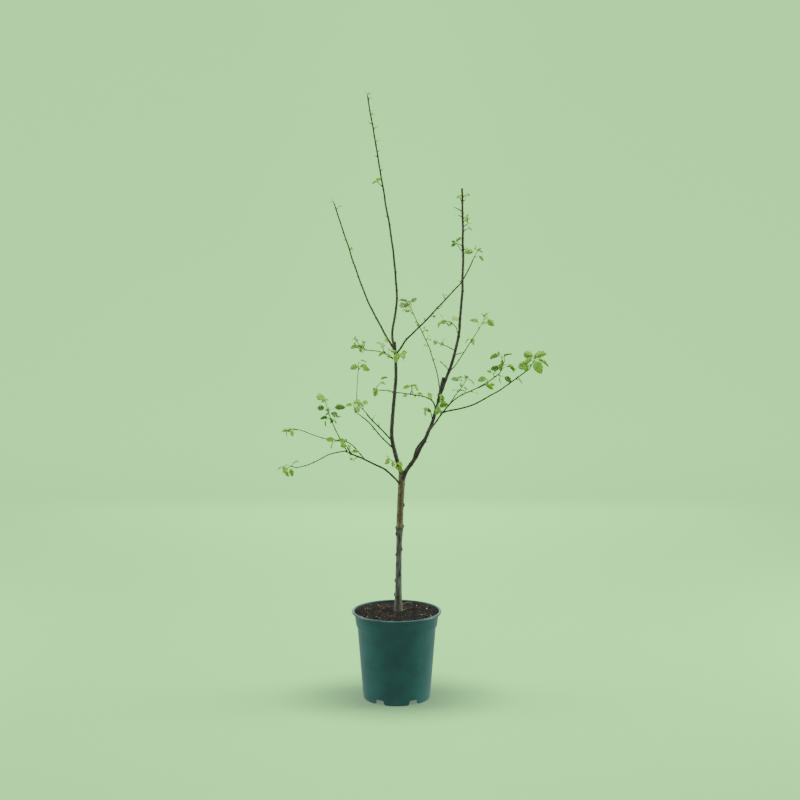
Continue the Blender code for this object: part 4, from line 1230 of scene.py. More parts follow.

# %% Leaf colours
# The deep tint is painted shade: the darker green of leaves that sit in shadow.
TINTS = {
    "fresh": ("#79b026", "#88b844"),
    "vivid": ("#609c1a", "#78ac3c"),
    "deep": ("#3f7215", "#629035"),
    "dull": ("#6e9a46", "#80a65a"),
    "pale": ("#96bc52", "#9ec064"),
    "bronze": ("#98ae42", "#9eb458"),
}
SIDE_VEINS = 7
VEIN_SLANT = 0.22
VEIN_DEPTH = 0.2 * MM


def blade_material(name, colour, roughness, veins):
    """A leaf's skin: its tint, light that comes through, side veins and a soft quilted relief."""
    material, tree, shader, place = new_material(name, roughness, 1.4)
    shader.inputs["Subsurface Weight"].default_value = 0.5
    shader.inputs["Subsurface Radius"].default_value = (0.6, 1.0, 0.2)
    shader.inputs["Subsurface Scale"].default_value = 0.0015
    tint = linear(colour)
    darker = tuple(c * 0.78 for c in tint[:3]) + (1.0,)
    mottled = patches(tree, place, 0.006, darker, tint, 0.35, 0.55)
    blade = add(tree, "ShaderNodeAttribute", {"attribute_name": "blade"}).outputs["Vector"]
    parts = add(tree, "ShaderNodeSeparateXYZ", values={0: blade})
    side = add(tree, "ShaderNodeMath", {"operation": "ABSOLUTE"}, {0: parts.outputs[0]})
    slant = add(tree, "ShaderNodeMath", {"operation": "MULTIPLY_ADD"},
                {0: side.outputs[0], 1: -VEIN_SLANT, 2: parts.outputs[1]})
    waves = add(tree, "ShaderNodeMath", {"operation": "MULTIPLY"},
                {0: slant.outputs[0], 1: 2 * math.pi * SIDE_VEINS})
    wave = add(tree, "ShaderNodeMath", {"operation": "COSINE"}, {0: waves.outputs[0]})
    ridge = add(tree, "ShaderNodeMapRange",
                values={"Value": wave.outputs[0], "From Min": 0.8, "From Max": 1.0})
    rib = add(tree, "ShaderNodeMapRange",
              values={"Value": side.outputs[0], "From Min": 0.09, "From Max": 0.03})
    vein = add(tree, "ShaderNodeMath", {"operation": "MAXIMUM"},
               {0: ridge.outputs[0], 1: rib.outputs[0]})
    share = add(tree, "ShaderNodeMath", {"operation": "MULTIPLY"}, {0: vein.outputs[0], 1: veins})
    lighter = tuple(min(1.0, c * 1.25 + 0.01) for c in tint[:3]) + (1.0,)
    drawn = add(tree, "ShaderNodeMix", {"data_type": "RGBA"},
                {0: share.outputs[0], 6: mottled, 7: lighter})
    tree.links.new(drawn.outputs[2], shader.inputs["Base Color"])
    relief(tree, shader, vein.outputs[0], -VEIN_DEPTH if veins < 0.5 else VEIN_DEPTH, 0.6)
    return material


def leaf_tree():
    """Sets a form on each point, turned and sized as the point says, in two materials."""
    tree, source = new_tree("leaves on points",
                            {"Forms": "Collection", "Top": "Material", "Underside": "Material"})
    shown = add(tree, "GeometryNodeCollectionInfo", {"transform_space": "ORIGINAL"},
                {"Collection": source["Forms"], "Separate Children": True, "Reset Children": True})
    turn = add(tree, "GeometryNodeInputNamedAttribute", {"data_type": "QUATERNION"},
               {"Name": "turn"}).outputs[0]
    size = add(tree, "GeometryNodeInputNamedAttribute", {"data_type": "FLOAT"},
               {"Name": "size"}).outputs[0]
    form = add(tree, "GeometryNodeInputNamedAttribute", {"data_type": "INT"},
               {"Name": "form"}).outputs[0]
    placed = add(tree, "GeometryNodeInstanceOnPoints",
                 values={"Points": source["Geometry"], "Instance": shown.outputs[0],
                         "Pick Instance": True, "Instance Index": form, "Rotation": turn,
                         "Scale": size})
    real = add(tree, "GeometryNodeRealizeInstances", values={"Geometry": placed.outputs[0]})
    top = add(tree, "GeometryNodeSetMaterial",
              values={"Geometry": real.outputs[0], "Material": source["Top"]})
    marked = add(tree, "GeometryNodeInputNamedAttribute", {"data_type": "INT"},
                 {"Name": "under"}).outputs[0]
    below = add(tree, "FunctionNodeCompare", {"data_type": "INT", "operation": "EQUAL"},
                {2: marked, 3: 1})
    done = add(tree, "GeometryNodeSetMaterial",
               values={"Geometry": top.outputs[0], "Selection": below.outputs[0],
                       "Material": source["Underside"]})
    add(tree, "NodeGroupOutput", values={"Geometry": done.outputs[0]})
    return tree


LEAF_TREE = leaf_tree()


def point_mesh(name, places, turns, sizes, numbers):
    """Points that carry a rotation, a size and the number of a form."""
    mesh = bpy.data.meshes.new(name)
    mesh.from_pydata(places, [], [])
    flat = [value for turn in turns for value in turn]
    mesh.attributes.new("turn", "QUATERNION", "POINT").data.foreach_set("value", flat)
    mesh.attributes.new("size", "FLOAT", "POINT").data.foreach_set("value", sizes)
    mesh.attributes.new("form", "INT", "POINT").data.foreach_set("value", numbers)
    return mesh


def blade_turn(leaf):
    """The rotation that lays a unit leaf along a leaf of the rule."""
    across = leaf.along.cross(leaf.up)
    return Matrix((across, leaf.along, leaf.up)).transposed().to_quaternion()


def blade_form(leaf):
    """Young small leaves are still rolled, and the rest vary by the last digits of their length."""
    if leaf.length < ROLLED_BELOW * MM:
        return ROLLED_FORM
    return int(leaf.length / MM * FORM_MIX) % ROLLED_FORM


by_tint = []
for tint, (upper, lower) in TINTS.items():
    leaves = [leaf for spray in sprays if spray.tint == tint for leaf in spray.leaves]
    places = [blade_point(leaf, 0.0, 0.0) for leaf in leaves]
    turns = [blade_turn(leaf) for leaf in leaves]
    lengths = [leaf.length for leaf in leaves]
    mesh = point_mesh(tint, places, turns, lengths, [blade_form(leaf) for leaf in leaves])
    piece = new_object(tint, mesh)
    # The upper skin of an apple leaf in this tint, and its paler downy underside.
    top = blade_material(f"{tint} leaf", upper, 0.42, 0.3)
    underside = blade_material(f"{tint} leaf underside", lower, 0.7, 0.6)
    by_tint.append(run_tree(LEAF_TREE, piece, {"Forms": forms, "Top": top, "Underside": underside}))
    print(tint, len(leaves), "leaves")
leaf_blades = joined("leaf_blades", by_tint)
wear(leaf_blades, "leaf", *MASS_NODES)

# %% [markdown]
# ## Buds
#
# Every joint of a shoot bears a bud that lies close to the wood and points up it. They go round
# the shoot by the golden angle, like the leaves. A bud is a small ridged cone of overlapping
# scales, brown at its foot and downy grey at its tip.

# %% Buds on every limb
BUD_SIDES = 6
BUD_LENGTHS = (2.4, 3.6)
SPRAY_BUD = 2.6
SPRAY_BUD_SUNK = 0.5
BUD_FLATNESS = 0.8
# How far a bud leans out, how deep it sits as a share of the shoot's radius, and how far it
# strays from the golden angle.
BUD_LEAN, BUD_SEAT, BUD_STRAY = 0.45, 0.8, 0.3
BUD_PROFILE = ((0.0, 0.30), (0.2, 0.46), (0.45, 0.42), (0.7, 0.26), (0.9, 0.1))


def bud_mesh():
    """A bud of unit length along +Z."""
    bm = bmesh.new()
    rings = []
    for k, (z, r) in enumerate(BUD_PROFILE):
        turn = 0.5 * (k % 2)
        angles = [2 * math.pi * (i + turn) / BUD_SIDES for i in range(BUD_SIDES)]
        rings.append([bm.verts.new((r * math.cos(a), BUD_FLATNESS * r * math.sin(a), z))
                      for a in angles])
    tip = bm.verts.new((0, 0, 1))
    for low, high in zip(rings, rings[1:]):
        for i in range(BUD_SIDES):
            bm.faces.new((low[i], low[(i + 1) % BUD_SIDES], high[(i + 1) % BUD_SIDES], high[i]))
    for i in range(BUD_SIDES):
        bm.faces.new((rings[-1][i], rings[-1][(i + 1) % BUD_SIDES], tip))
    bm.faces.new(rings[0])
    form = object_from("bud_form", bm)
    bpy.context.scene.collection.objects.unlink(form)
    return form


# Bud scales: red brown and dry, with grey down.
BUD_SCALES, tree, shader, place = new_material("bud scales", 0.7)
bud_colour = patches(tree, place, 0.0012, linear("#4a3524"), linear("#85765a"), 0.42, 0.6)
tree.links.new(bud_colour, shader.inputs["Base Color"])
down = add(tree, "ShaderNodeTexNoise", values={"Vector": place, "Scale": 2200.0, "Detail": 3.0})
relief(tree, shader, down.outputs[0], 0.0001)

bud_form = bpy.data.collections.new("bud form")
bud_form.objects.link(bud_mesh())
places, turns, sizes = [], [], []
for limb in LIMBS:
    rng = random.Random(limb.name + " bud turns")
    course = limb_courses[limb.name]
    length = line_length(course.line)
    angle = rng.uniform(0, 2 * math.pi)
    for way in bud_places(limb, length):
        point, heading = place_on(course.line, way / length)
        radius = course.radii[round(way / length * (len(course.radii) - 1))]
        out = Matrix.Rotation(angle, 3, heading) @ heading.orthogonal().normalized()
        aim = (heading + out * BUD_LEAN).normalized()
        angle += GOLDEN_ANGLE + rng.uniform(-BUD_STRAY, BUD_STRAY)
        places.append(point + out * radius * BUD_SEAT)
        turns.append(aim.to_track_quat("Z", "Y"))
        sizes.append(rng.uniform(*BUD_LENGTHS) * MM)
for spray in sprays:
    places.append(spray.end - spray.out * SPRAY_BUD_SUNK * MM)
    turns.append(spray.out.to_track_quat("Z", "Y"))
    sizes.append(SPRAY_BUD * MM)
buds = new_object("buds", point_mesh("buds", places, turns, sizes, [0] * len(places)))
run_tree(LEAF_TREE, buds, {"Forms": bud_form, "Top": BUD_SCALES, "Underside": BUD_SCALES})
wear(buds, "bough_bark", *MASS_NODES)

# %% [markdown]
# ## Pot
#
# The pot is blow-moulded polypropylene, about 2 mm thick, in dark teal green with a satin skin.
# It is turned from an outline: a rolled lip, a collar that steps in, a plain tapering wall and a
# foot ring, whose arched notches let water out. Each corner of the outline is rounded, since a
# mould has no sharp corners and the small radii catch the light as thin bright lines.

# %% Turned shapes
def rounded(outline, default=0.5):
    """A closed outline of (radius, height[, corner radius]) points in mm, its corners rounded."""
    smooth = []
    for i, point in enumerate(outline):
        here = Vector(point[:2])
        size = point[2] if len(point) > 2 else default
        if here.x == 0 or size == 0:
            smooth.append(here)
            continue
        before = Vector(outline[i - 1][:2]) - here
        after = Vector(outline[(i + 1) % len(outline)][:2]) - here
        start = here + before.normalized() * min(size, before.length * 0.48)
        end = here + after.normalized() * min(size, after.length * 0.48)
        for t in (0.0, 0.25, 0.5, 0.75, 1.0):
            smooth.append(start * (1 - t) ** 2 + here * 2 * t * (1 - t) + end * t ** 2)
    return smooth


def turned(name, outline, segments, material, shift=None):
    """A closed solid turned about the Z axis from an outline in mm; shift moves each point."""
    bm = bmesh.new()
    poles = {i: bm.verts.new(mm((0, 0, z))) for i, (r, z) in enumerate(outline) if r < 0.01}
    columns = []
    for k in range(segments):
        angle = 2 * math.pi * k / segments
        column = []
        for i, (r, z) in enumerate(outline):
            if i in poles:
                column.append(poles[i])
                continue
            point = mm((r * math.cos(angle), r * math.sin(angle), z))
            column.append(bm.verts.new(shift(point) if shift else point))
        columns.append(column)
    for k in range(segments):
        here, beside = columns[k], columns[(k + 1) % segments]
        for i in range(len(outline)):
            j = (i + 1) % len(outline)
            corners = list(dict.fromkeys((here[i], beside[i], beside[j], here[j])))
            if len(corners) > 2:
                bm.faces.new(corners)
    return object_from(name, bm, material)


def cut(thing, cutter):
    """Cuts the cutter out of thing and removes it."""
    modifier = thing.modifiers.new("cut", "BOOLEAN")
    modifier.operation = "DIFFERENCE"
    modifier.solver = "EXACT"
    modifier.object = cutter
    graph = bpy.context.evaluated_depsgraph_get()
    shaped = bpy.data.meshes.new_from_object(thing.evaluated_get(graph))
    thing.modifiers.clear()
    thing.data = shaped
    bpy.data.objects.remove(cutter, do_unlink=True)


# %% Pot plastic
# Polypropylene: dark teal green with a satin moulded skin, a little dusty and scuffed in use.
# Inside the wall above the bed it has painted shade, darker and duller.
POT_PLASTIC, tree, shader, place = new_material("moulded polypropylene", 0.32, 1.49)
cloudy = patches(tree, place, 0.05, linear("#124a43"), linear("#17564e"), 0.35, 0.65)
heights = add(tree, "ShaderNodeSeparateXYZ", values={0: place}).outputs[2]
splashes = add(tree, "ShaderNodeTexNoise",
               values={"Vector": place, "Scale": 260.0, "Detail": 5.0}).outputs[0]
low = add(tree, "ShaderNodeMapRange",
          values={"Value": heights, "From Min": 0.05, "From Max": 0.0, "To Max": 0.14})
soiled = add(tree, "ShaderNodeMath", {"operation": "ADD"}, {0: splashes, 1: low.outputs[0]})
dust = add(tree, "ShaderNodeMapRange",
           values={"Value": soiled.outputs[0], "From Min": 0.62, "From Max": 0.8, "To Max": 0.35})
pot_colour = add(tree, "ShaderNodeMix", {"data_type": "RGBA"},
                 {0: dust.outputs[0], 6: cloudy, 7: linear("#4f6a5f")})
# Painted shade: inside the wall above the bed the plastic is made darker, and duller below.
inner_shade_mask = add(tree, "ShaderNodeAttribute", {"attribute_name": "soil"}).outputs["Fac"]
inner_colour = add(tree, "ShaderNodeMix", {"data_type": "RGBA"},
                   {0: inner_shade_mask, 6: pot_colour.outputs[2], 7: linear("#14211d")})
tree.links.new(inner_colour.outputs[2], shader.inputs["Base Color"])
drag = add(tree, "ShaderNodeVectorMath", {"operation": "MULTIPLY"}, {0: place, 1: (1.0, 1.0, 0.12)})
scuffs = add(tree, "ShaderNodeTexNoise",
             values={"Vector": drag.outputs[0], "Scale": 420.0, "Detail": 4.0}).outputs[0]
sheen = add(tree, "ShaderNodeMapRange",
            values={"Value": scuffs, "From Min": 0.3, "From Max": 0.7, "To Min": 0.27,
                    "To Max": 0.38})
dull = add(tree, "ShaderNodeMath", {"operation": "MULTIPLY_ADD"},
           {0: inner_shade_mask, 1: 0.5, 2: sheen.outputs[0]})
tree.links.new(dull.outputs[0], shader.inputs["Roughness"])
pores = add(tree, "ShaderNodeTexNoise",
            values={"Vector": place, "Scale": 1500.0, "Detail": 3.0}).outputs[0]
skin = add(tree, "ShaderNodeMath", {"operation": "MULTIPLY_ADD"}, {0: scuffs, 1: 0.6, 2: pores})
relief(tree, shader, skin.outputs[0], 0.00006)

# %% The pot
POT_HEIGHT = pot_box[1][2] / MM
RIM_RADIUS = pot_box[1][0] / MM
WALL_FOOT = 84.0
FOOT_HEIGHT = 13.0
NOTCHES = 6
NOTCH_HALF_DEG = 8.6
NOTCH_REACH = 7.0
POT_SEGMENTS = 144
POT_SHARP_DEG = 35

POT_OUTLINE = (
    (RIM_RADIUS, POT_HEIGHT, 3.0), (RIM_RADIUS, POT_HEIGHT - 5.0, 1.6),
    (108.2, POT_HEIGHT - 5.2, 1.6), (106.4, POT_HEIGHT - 8.5, 2.5), (105.2, POT_HEIGHT - 12.0, 2.5),
    (101.8, 185.4, 2.2), (98.6, 181.2, 2.2), (84.9, 6.0, 2.0), (83.6, 0.0, 1.0), (81.0, 0.0, 0.5),
    (81.6, FOOT_HEIGHT, 2.0), (40.0, FOOT_HEIGHT, 3.0), (38.0, 0.0, 1.5), (0, 0.0), (0, 2.4),
    (35.8, 2.4, 2.0), (38.0, 15.4, 3.0), (82.2, 15.4, 4.0), (96.6, 181.9, 2.0), (99.9, 186.0, 2.0),
    (103.2, POT_HEIGHT - 11.0, 2.5), (106.0, POT_HEIGHT - 2.8, 2.0), (107.0, POT_HEIGHT, 2.4),
)


def notch_cutter():
    """Six arched wedges that open the foot ring."""
    bm = bmesh.new()
    left = [(-1.5, -4.0), (-1.45, 0.0), (-1.17, 1.0), (-1.02, 2.6), (-0.96, 5.0),
            (-0.9, FOOT_HEIGHT - 3.6), (-0.8, FOOT_HEIGHT - 1.6), (-0.62, FOOT_HEIGHT - 0.6)]
    arch = left + [(-side, z) for side, z in reversed(left)]
    for k in range(NOTCHES):
        middle = -math.pi / 2 + math.pi / NOTCHES + 2 * math.pi * k / NOTCHES
        rings = []
        angles = [middle + math.radians(NOTCH_HALF_DEG) * side for side, _ in arch]
        for r in (WALL_FOOT - NOTCH_REACH, WALL_FOOT + NOTCH_REACH):
            rings.append([bm.verts.new(mm((r * math.cos(a), r * math.sin(a), z)))
                          for a, (_, z) in zip(angles, arch)])
        near, far = rings
        bm.faces.new(near)
        bm.faces.new(far)
        for i in range(len(arch)):
            j = (i + 1) % len(arch)
            bm.faces.new((near[i], near[j], far[j], far[i]))
    return object_from("notches", bm)


# Radii in the middle of the lip's and of the wall's thickness, and where the band of painted
# shade inside the wall begins.
LIP_MIDDLE = 106.8
WALL_MIDDLE = 104.2
INNER_SHADE_FROM = 195.0


def soil_above_bed(piece):
    """Marks the inside of the wall above the bed, where shade is painted in."""
    marks = []
    for vert in piece.data.vertices:
        r, z = math.hypot(vert.co.x, vert.co.y) / MM, vert.co.z / MM
        middle = LIP_MIDDLE if z > POT_HEIGHT - 6 else WALL_MIDDLE
        marks.append(1.0 if r < middle and INNER_SHADE_FROM < z < POT_HEIGHT - 2 else 0.0)
    piece.data.attributes.new("soil", "FLOAT", "POINT").data.foreach_set("value", marks)


pot = turned("nursery_pot", rounded(POT_OUTLINE), POT_SEGMENTS, POT_PLASTIC)
cut(pot, notch_cutter())
pot.data.shade_smooth()
pot.data.set_sharp_from_angle(angle=math.radians(POT_SHARP_DEG))
soil_above_bed(pot)
wear(pot, "pot_plastic", "pot")

# %% [markdown]
# ## Compost
#
# The pot is filled with dark peat and composted bark to 5 mm below its rim, a little higher
# round the stem. Its surface is crumbly, so the bed itself has clods, and crumbs, bark chips,
# fibres and a few pale grains are scattered over it by Geometry Nodes, clear of the stem and of
# the pot's wall.

# %% Compost materials
def crumb_material(name, dark, light, size, roughness=0.95):
    """A loose, dull, grainy stuff in two shades."""
    material, tree, shader, place = new_material(name, roughness)
    shades = patches(tree, place, size, linear(dark), linear(light), 0.38, 0.64, 5.0)
    tree.links.new(shades, shader.inputs["Base Color"])
    grain = add(tree, "ShaderNodeTexNoise",
                values={"Vector": place, "Scale": 2 / size, "Detail": 5.0})
    relief(tree, shader, grain.outputs[0], size * 0.3)
    return material


PEAT = crumb_material("peat compost", "#0a0907", "#201b16", 0.003)
DARK_CHIP = crumb_material("composted bark chip", "#100d0a", "#372f26", 0.002)
MID_CHIP = crumb_material("brown bark chip", "#3a2c22", "#6f5c48", 0.002)
PALE_CHIP = crumb_material("pale wood chip", "#9a8a6b", "#d8cbaa", 0.0015, 0.85)
FIBRE = crumb_material("coir fibre", "#4c3f2d", "#8c7856", 0.002, 0.8)
GRAIN = crumb_material("perlite grain", "#b7b0a2", "#e6e2d8", 0.001, 0.9)
DEAD_TWIG = crumb_material("dead twig", "#43342a", "#7c6251", 0.003, 0.75)

# %% The bed
BED_SEGMENTS = 168
BED_RINGS = 44
CLOD_MM = 1.7
CLOD_SIZES = ((110, 0.7), (300, 0.5), (700, 0.25))
CLOD_GAIN, CLOD_SINK = 1.5, 0.2
# Clods fade out towards the wall over one run, and towards the stem over another, where a few stay.
WALL_CALM = 8.0
STEM_CALM, STEM_CALM_RUN, LEAST_CLODS = 10.0, 14.0, 0.15
EDGE_RADIUS = compost_box[1][0] / MM
EDGE_HEIGHT = 217.8
CROWN_HEIGHT = compost_box[1][2] / MM + 1.2
STEM_X, STEM_Y = TRUNK_COURSE[0][:2]


def bed_height(r):
    """The bed's height in mm at a distance from the pot's axis, mounded as the solid is."""
    steps = ((0, 1.0), (24, 1.0), (0.5 * EDGE_RADIUS, 0.75), (0.8 * EDGE_RADIUS, 0.35),
             (EDGE_RADIUS, 0.0))
    for (a, high), (b, low) in zip(steps, steps[1:]):
        if r <= b:
            share = high + (low - high) * (r - a) / (b - a)
            return EDGE_HEIGHT + (CROWN_HEIGHT - EDGE_HEIGHT) * share
    return EDGE_HEIGHT


def clods(point):
    """Lumps the bed's surface, less near the wall and the stem."""
    r = math.hypot(point.x, point.y) / MM
    if point.z < (EDGE_HEIGHT - 1) * MM or r > EDGE_RADIUS - 0.5:
        return point
    from_stem = math.hypot(point.x / MM - STEM_X, point.y / MM - STEM_Y)
    past_stem = max(LEAST_CLODS, (from_stem - STEM_CALM) / STEM_CALM_RUN)
    calm = min(1.0, (EDGE_RADIUS - r) / WALL_CALM, past_stem)
    lumps = 0.0
    for per_metre, share in CLOD_SIZES:
        lumps += noise.noise(point * per_metre) * share
    return point + Vector((0, 0, CLOD_MM * MM * calm * (lumps * CLOD_GAIN - CLOD_SINK)))


ring_radii = [EDGE_RADIUS * (1 - k / BED_RINGS) for k in range(BED_RINGS + 1)]
surface = [(r, bed_height(r)) for r in ring_radii]
bed_outline = [(0, 2.8), (35.4, 2.8), (37.6, 15.8), (81.6, 15.8), (95.7, 181.0), (99.0, 187.0),
               (102.5, 211.7), *surface]
compost_bed = turned("compost_bed", [Vector(p) for p in bed_outline], BED_SEGMENTS, PEAT, clods)
wear(compost_bed, "compost", "compost")

# %% Crumbs, chips, fibres and grains
FORMS_EACH = 4
TOP_FACES_ABOVE = 205.0
STEM_ROOM = 15.0


def scatter_tree():
    """Scatters forms over the top of the bed, inside the edge and clear of the stem."""
    tree, source = new_tree("scatter",
                            {"Forms": "Collection", "Density": "Float", "Smallest": "Float",
                             "Largest": "Float", "Tilt": "Float", "Edge": "Float", "Seed": "Int",
                             "Material": "Material"})
    here = add(tree, "GeometryNodeInputPosition").outputs[0]
    xyz = add(tree, "ShaderNodeSeparateXYZ", values={0: here})
    level = add(tree, "ShaderNodeCombineXYZ", values={0: xyz.outputs[0], 1: xyz.outputs[1]})
    out = add(tree, "ShaderNodeVectorMath", {"operation": "LENGTH"},
              {0: level.outputs[0]}).outputs["Value"]
    stem = mm((STEM_X, STEM_Y, 0))
    to_stem = add(tree, "ShaderNodeVectorMath", {"operation": "DISTANCE"},
                  {0: level.outputs[0], 1: stem})
    high = add(tree, "FunctionNodeCompare", {"operation": "GREATER_THAN"},
               {0: xyz.outputs[2], 1: TOP_FACES_ABOVE * MM})
    inside = add(tree, "FunctionNodeCompare", {"operation": "LESS_THAN"},
                 {0: out, 1: source["Edge"]})
    beside = add(tree, "FunctionNodeCompare", {"operation": "GREATER_THAN"},
                 {0: to_stem.outputs["Value"], 1: STEM_ROOM * MM})
    both = add(tree, "FunctionNodeBooleanMath", {"operation": "AND"},
               {0: high.outputs[0], 1: inside.outputs[0]})
    chosen = add(tree, "FunctionNodeBooleanMath", {"operation": "AND"},
                 {0: both.outputs[0], 1: beside.outputs[0]})
    spread = add(tree, "GeometryNodeDistributePointsOnFaces",
                 values={"Mesh": source["Geometry"], "Selection": chosen.outputs[0],
                         "Density": source["Density"], "Seed": source["Seed"]})
    size = add(tree, "FunctionNodeRandomValue", {"data_type": "FLOAT"},
               {2: source["Smallest"], 3: source["Largest"], "Seed": source["Seed"]})
    number = add(tree, "FunctionNodeRandomValue", {"data_type": "INT"},
                 {4: 0, 5: FORMS_EACH - 1, "Seed": source["Seed"]})
    least = add(tree, "ShaderNodeMath", {"operation": "MULTIPLY"}, {0: source["Tilt"], 1: -1.0})
    low = add(tree, "ShaderNodeCombineXYZ",
              values={0: least.outputs[0], 1: least.outputs[0], 2: 0.0})
    top = add(tree, "ShaderNodeCombineXYZ",
              values={0: source["Tilt"], 1: source["Tilt"], 2: 2 * math.pi})
    spin = add(tree, "FunctionNodeRandomValue", {"data_type": "FLOAT_VECTOR"},
               {0: low.outputs[0], 1: top.outputs[0], "Seed": source["Seed"]})
    turn = add(tree, "FunctionNodeEulerToRotation", values={0: spin.outputs[0]})
    shown = add(tree, "GeometryNodeCollectionInfo", {"transform_space": "ORIGINAL"},
                {"Collection": source["Forms"], "Separate Children": True, "Reset Children": True})
    placed = add(tree, "GeometryNodeInstanceOnPoints",
                 values={"Points": spread.outputs[0], "Instance": shown.outputs[0],
                         "Pick Instance": True, "Instance Index": number.outputs[2],
                         "Rotation": turn.outputs[0], "Scale": size.outputs[1]})
    end_tree(tree, placed.outputs[0], source["Material"])
    return tree


def form_collection(name, makers):
    """A collection of unit forms, which isn't part of the scene."""
    collection = bpy.data.collections.new(name)
    for number, maker in enumerate(makers):
        bm = bmesh.new()
        maker(bm, random.Random(f"{name} {number}"))
        form = object_from(f"{name}_{number}".replace(" ", "_"), bm)
        bpy.context.scene.collection.objects.unlink(form)
        collection.objects.link(form)
    return collection


def crumb(bm, rng):
    """A rough lump."""
    bmesh.ops.create_icosphere(bm, subdivisions=1, radius=0.5)
    for vert in bm.verts:
        vert.co *= rng.uniform(0.7, 1.25)
        vert.co.z *= 0.75


def chip(bm, rng):
    """A flat splinter of bark with a ragged outline, chamfered above and below."""
    corners = rng.randint(6, 8)
    thick, narrow = rng.uniform(0.12, 0.22), rng.uniform(0.4, 0.75)
    outline = []
    for k in range(corners):
        a = 2 * math.pi * k / corners
        r = 0.5 * rng.uniform(0.72, 1.1)
        outline.append((r * math.cos(a), r * math.sin(a) * narrow))
    levels = ((-thick, 0.8), (0.0, 1.0), (thick, 0.78))
    rings = [[bm.verts.new((x * s, y * s, z + rng.uniform(-0.03, 0.03))) for x, y in outline]
             for z, s in levels]
    for low, high in zip(rings, rings[1:]):
        for k in range(corners):
            j = (k + 1) % corners
            bm.faces.new((low[k], low[j], high[j], high[k]))
    bm.faces.new(rings[0])
    bm.faces.new(rings[-1])


def fibre(bm, rng):
    """A thin curled thread, three-sided and closed."""
    line = [Vector((t / 7 - 0.5, 0, 0)) for t in range(8)]
    bend, lift = rng.uniform(-0.5, 0.5), rng.uniform(0.02, 0.12)
    rings = []
    for k, point in enumerate(line):
        point = point + Vector((0, bend * (point.x ** 2 * 2 - 0.2),
                                lift * math.sin(k * 1.3) + 0.04))
        rings.append([bm.verts.new(point + Vector((0, math.cos(a), math.sin(a))) * 0.018)
                      for a in (0.0, 2.1, 4.2)])
    for low, high in zip(rings, rings[1:]):
        for k in range(3):
            j = (k + 1) % 3
            bm.faces.new((low[k], low[j], high[j], high[k]))
    bm.faces.new(rings[0])
    bm.faces.new(rings[-1])


SCATTER_TREE = scatter_tree()
crumbs, chips, fibres = [form_collection(maker.__name__, [maker] * FORMS_EACH)
                         for maker in (crumb, chip, fibre)]

# name: forms, how many a square metre, smallest and largest in mm, tilt, seed and material.
SCATTERS = (
    ("compost_crumbs", crumbs, 42000, 1.4, 4.4, 3.0, 11, PEAT),
    ("dark_chips", chips, 16000, 3.5, 8.5, 0.9, 23, DARK_CHIP),
    ("brown_chips", chips, 3000, 3.0, 7.5, 0.8, 37, MID_CHIP),
    ("pale_chips", chips, 800, 3.0, 7.5, 0.6, 41, PALE_CHIP),
    ("coir_fibres", fibres, 3600, 8.0, 20.0, 0.3, 53, FIBRE),
    ("perlite_grains", crumbs, 700, 1.4, 3.0, 3.0, 67, GRAIN),
)
for name, forms_used, density, small, large, tilt, seed, material in SCATTERS:
    piece = new_object(name, compost_bed.data.copy())
    run_tree(SCATTER_TREE, piece,
             {"Forms": forms_used, "Density": float(density), "Smallest": small * MM,
              "Largest": large * MM, "Tilt": tilt, "Edge": (EDGE_RADIUS - 0.6 * large) * MM,
              "Seed": seed, "Material": material})
    wear(piece, "compost", "compost")

# A dead twig lies behind the stem on its right, curled and brown. Its points are millimetres.
TWIG_POINTS = ((13, 66, 218.5), (20, 73, 222.5), (29, 80, 223), (37, 88, 220.5), (44, 93, 216.5))
TWIG_RADII = (0.7, 0.9, 1.1, 0.8, 0.5)
twig_course = tapered([mm(p) for p in TWIG_POINTS], TWIG_RADII)
dead_twig = swept("dead_twig", [twig_course], SHOOT_SIDES, SHOOT_RELIEF, DEAD_TWIG)
wear(dead_twig, "compost", "compost")

# %% [markdown]
# ## Studio
#
# The studio is an even pale green, lit from both sides by large soft lights, which draw the
# bright bands down the pot, and softly from the front and above. The backdrop is one pale sheet
# that sweeps up behind the plant. The camera stands four metres off, at 1.25 m, and looks
# slightly down.

# %% Backdrop
# The sheet's curve from floor to wall, its two ends, its half width, and where its glow sets in.
SWEEP_RADIUS = 3.0
SWEEP_CUTS = 12
SHEET_FRONT, SHEET_TOP = (-6.0, 0.0), (6.0, 9.0)
HALF_WIDTH = 7.0
GLOW_START, GLOW_END = 0.0, 4.0
PAPER_GREEN = linear("#83e064")
PAPER_SIDES = linear("#7bd25e")
FLOOR_GLOW = linear("#728476")
WALL_GLOW = linear("#a9f799")
sheet = [SHEET_FRONT]
for k in range(SWEEP_CUTS + 1):
    a = math.pi / 2 * k / SWEEP_CUTS
    sheet.append((SWEEP_RADIUS + SWEEP_RADIUS * math.sin(a),
                  SWEEP_RADIUS - SWEEP_RADIUS * math.cos(a)))
sheet.append(SHEET_TOP)
bm = bmesh.new()
edges = [[bm.verts.new((x, y, z)) for y, z in sheet] for x in (-HALF_WIDTH, HALF_WIDTH)]
for i in range(len(sheet) - 1):
    bm.faces.new((edges[0][i], edges[1][i], edges[1][i + 1], edges[0][i + 1]))
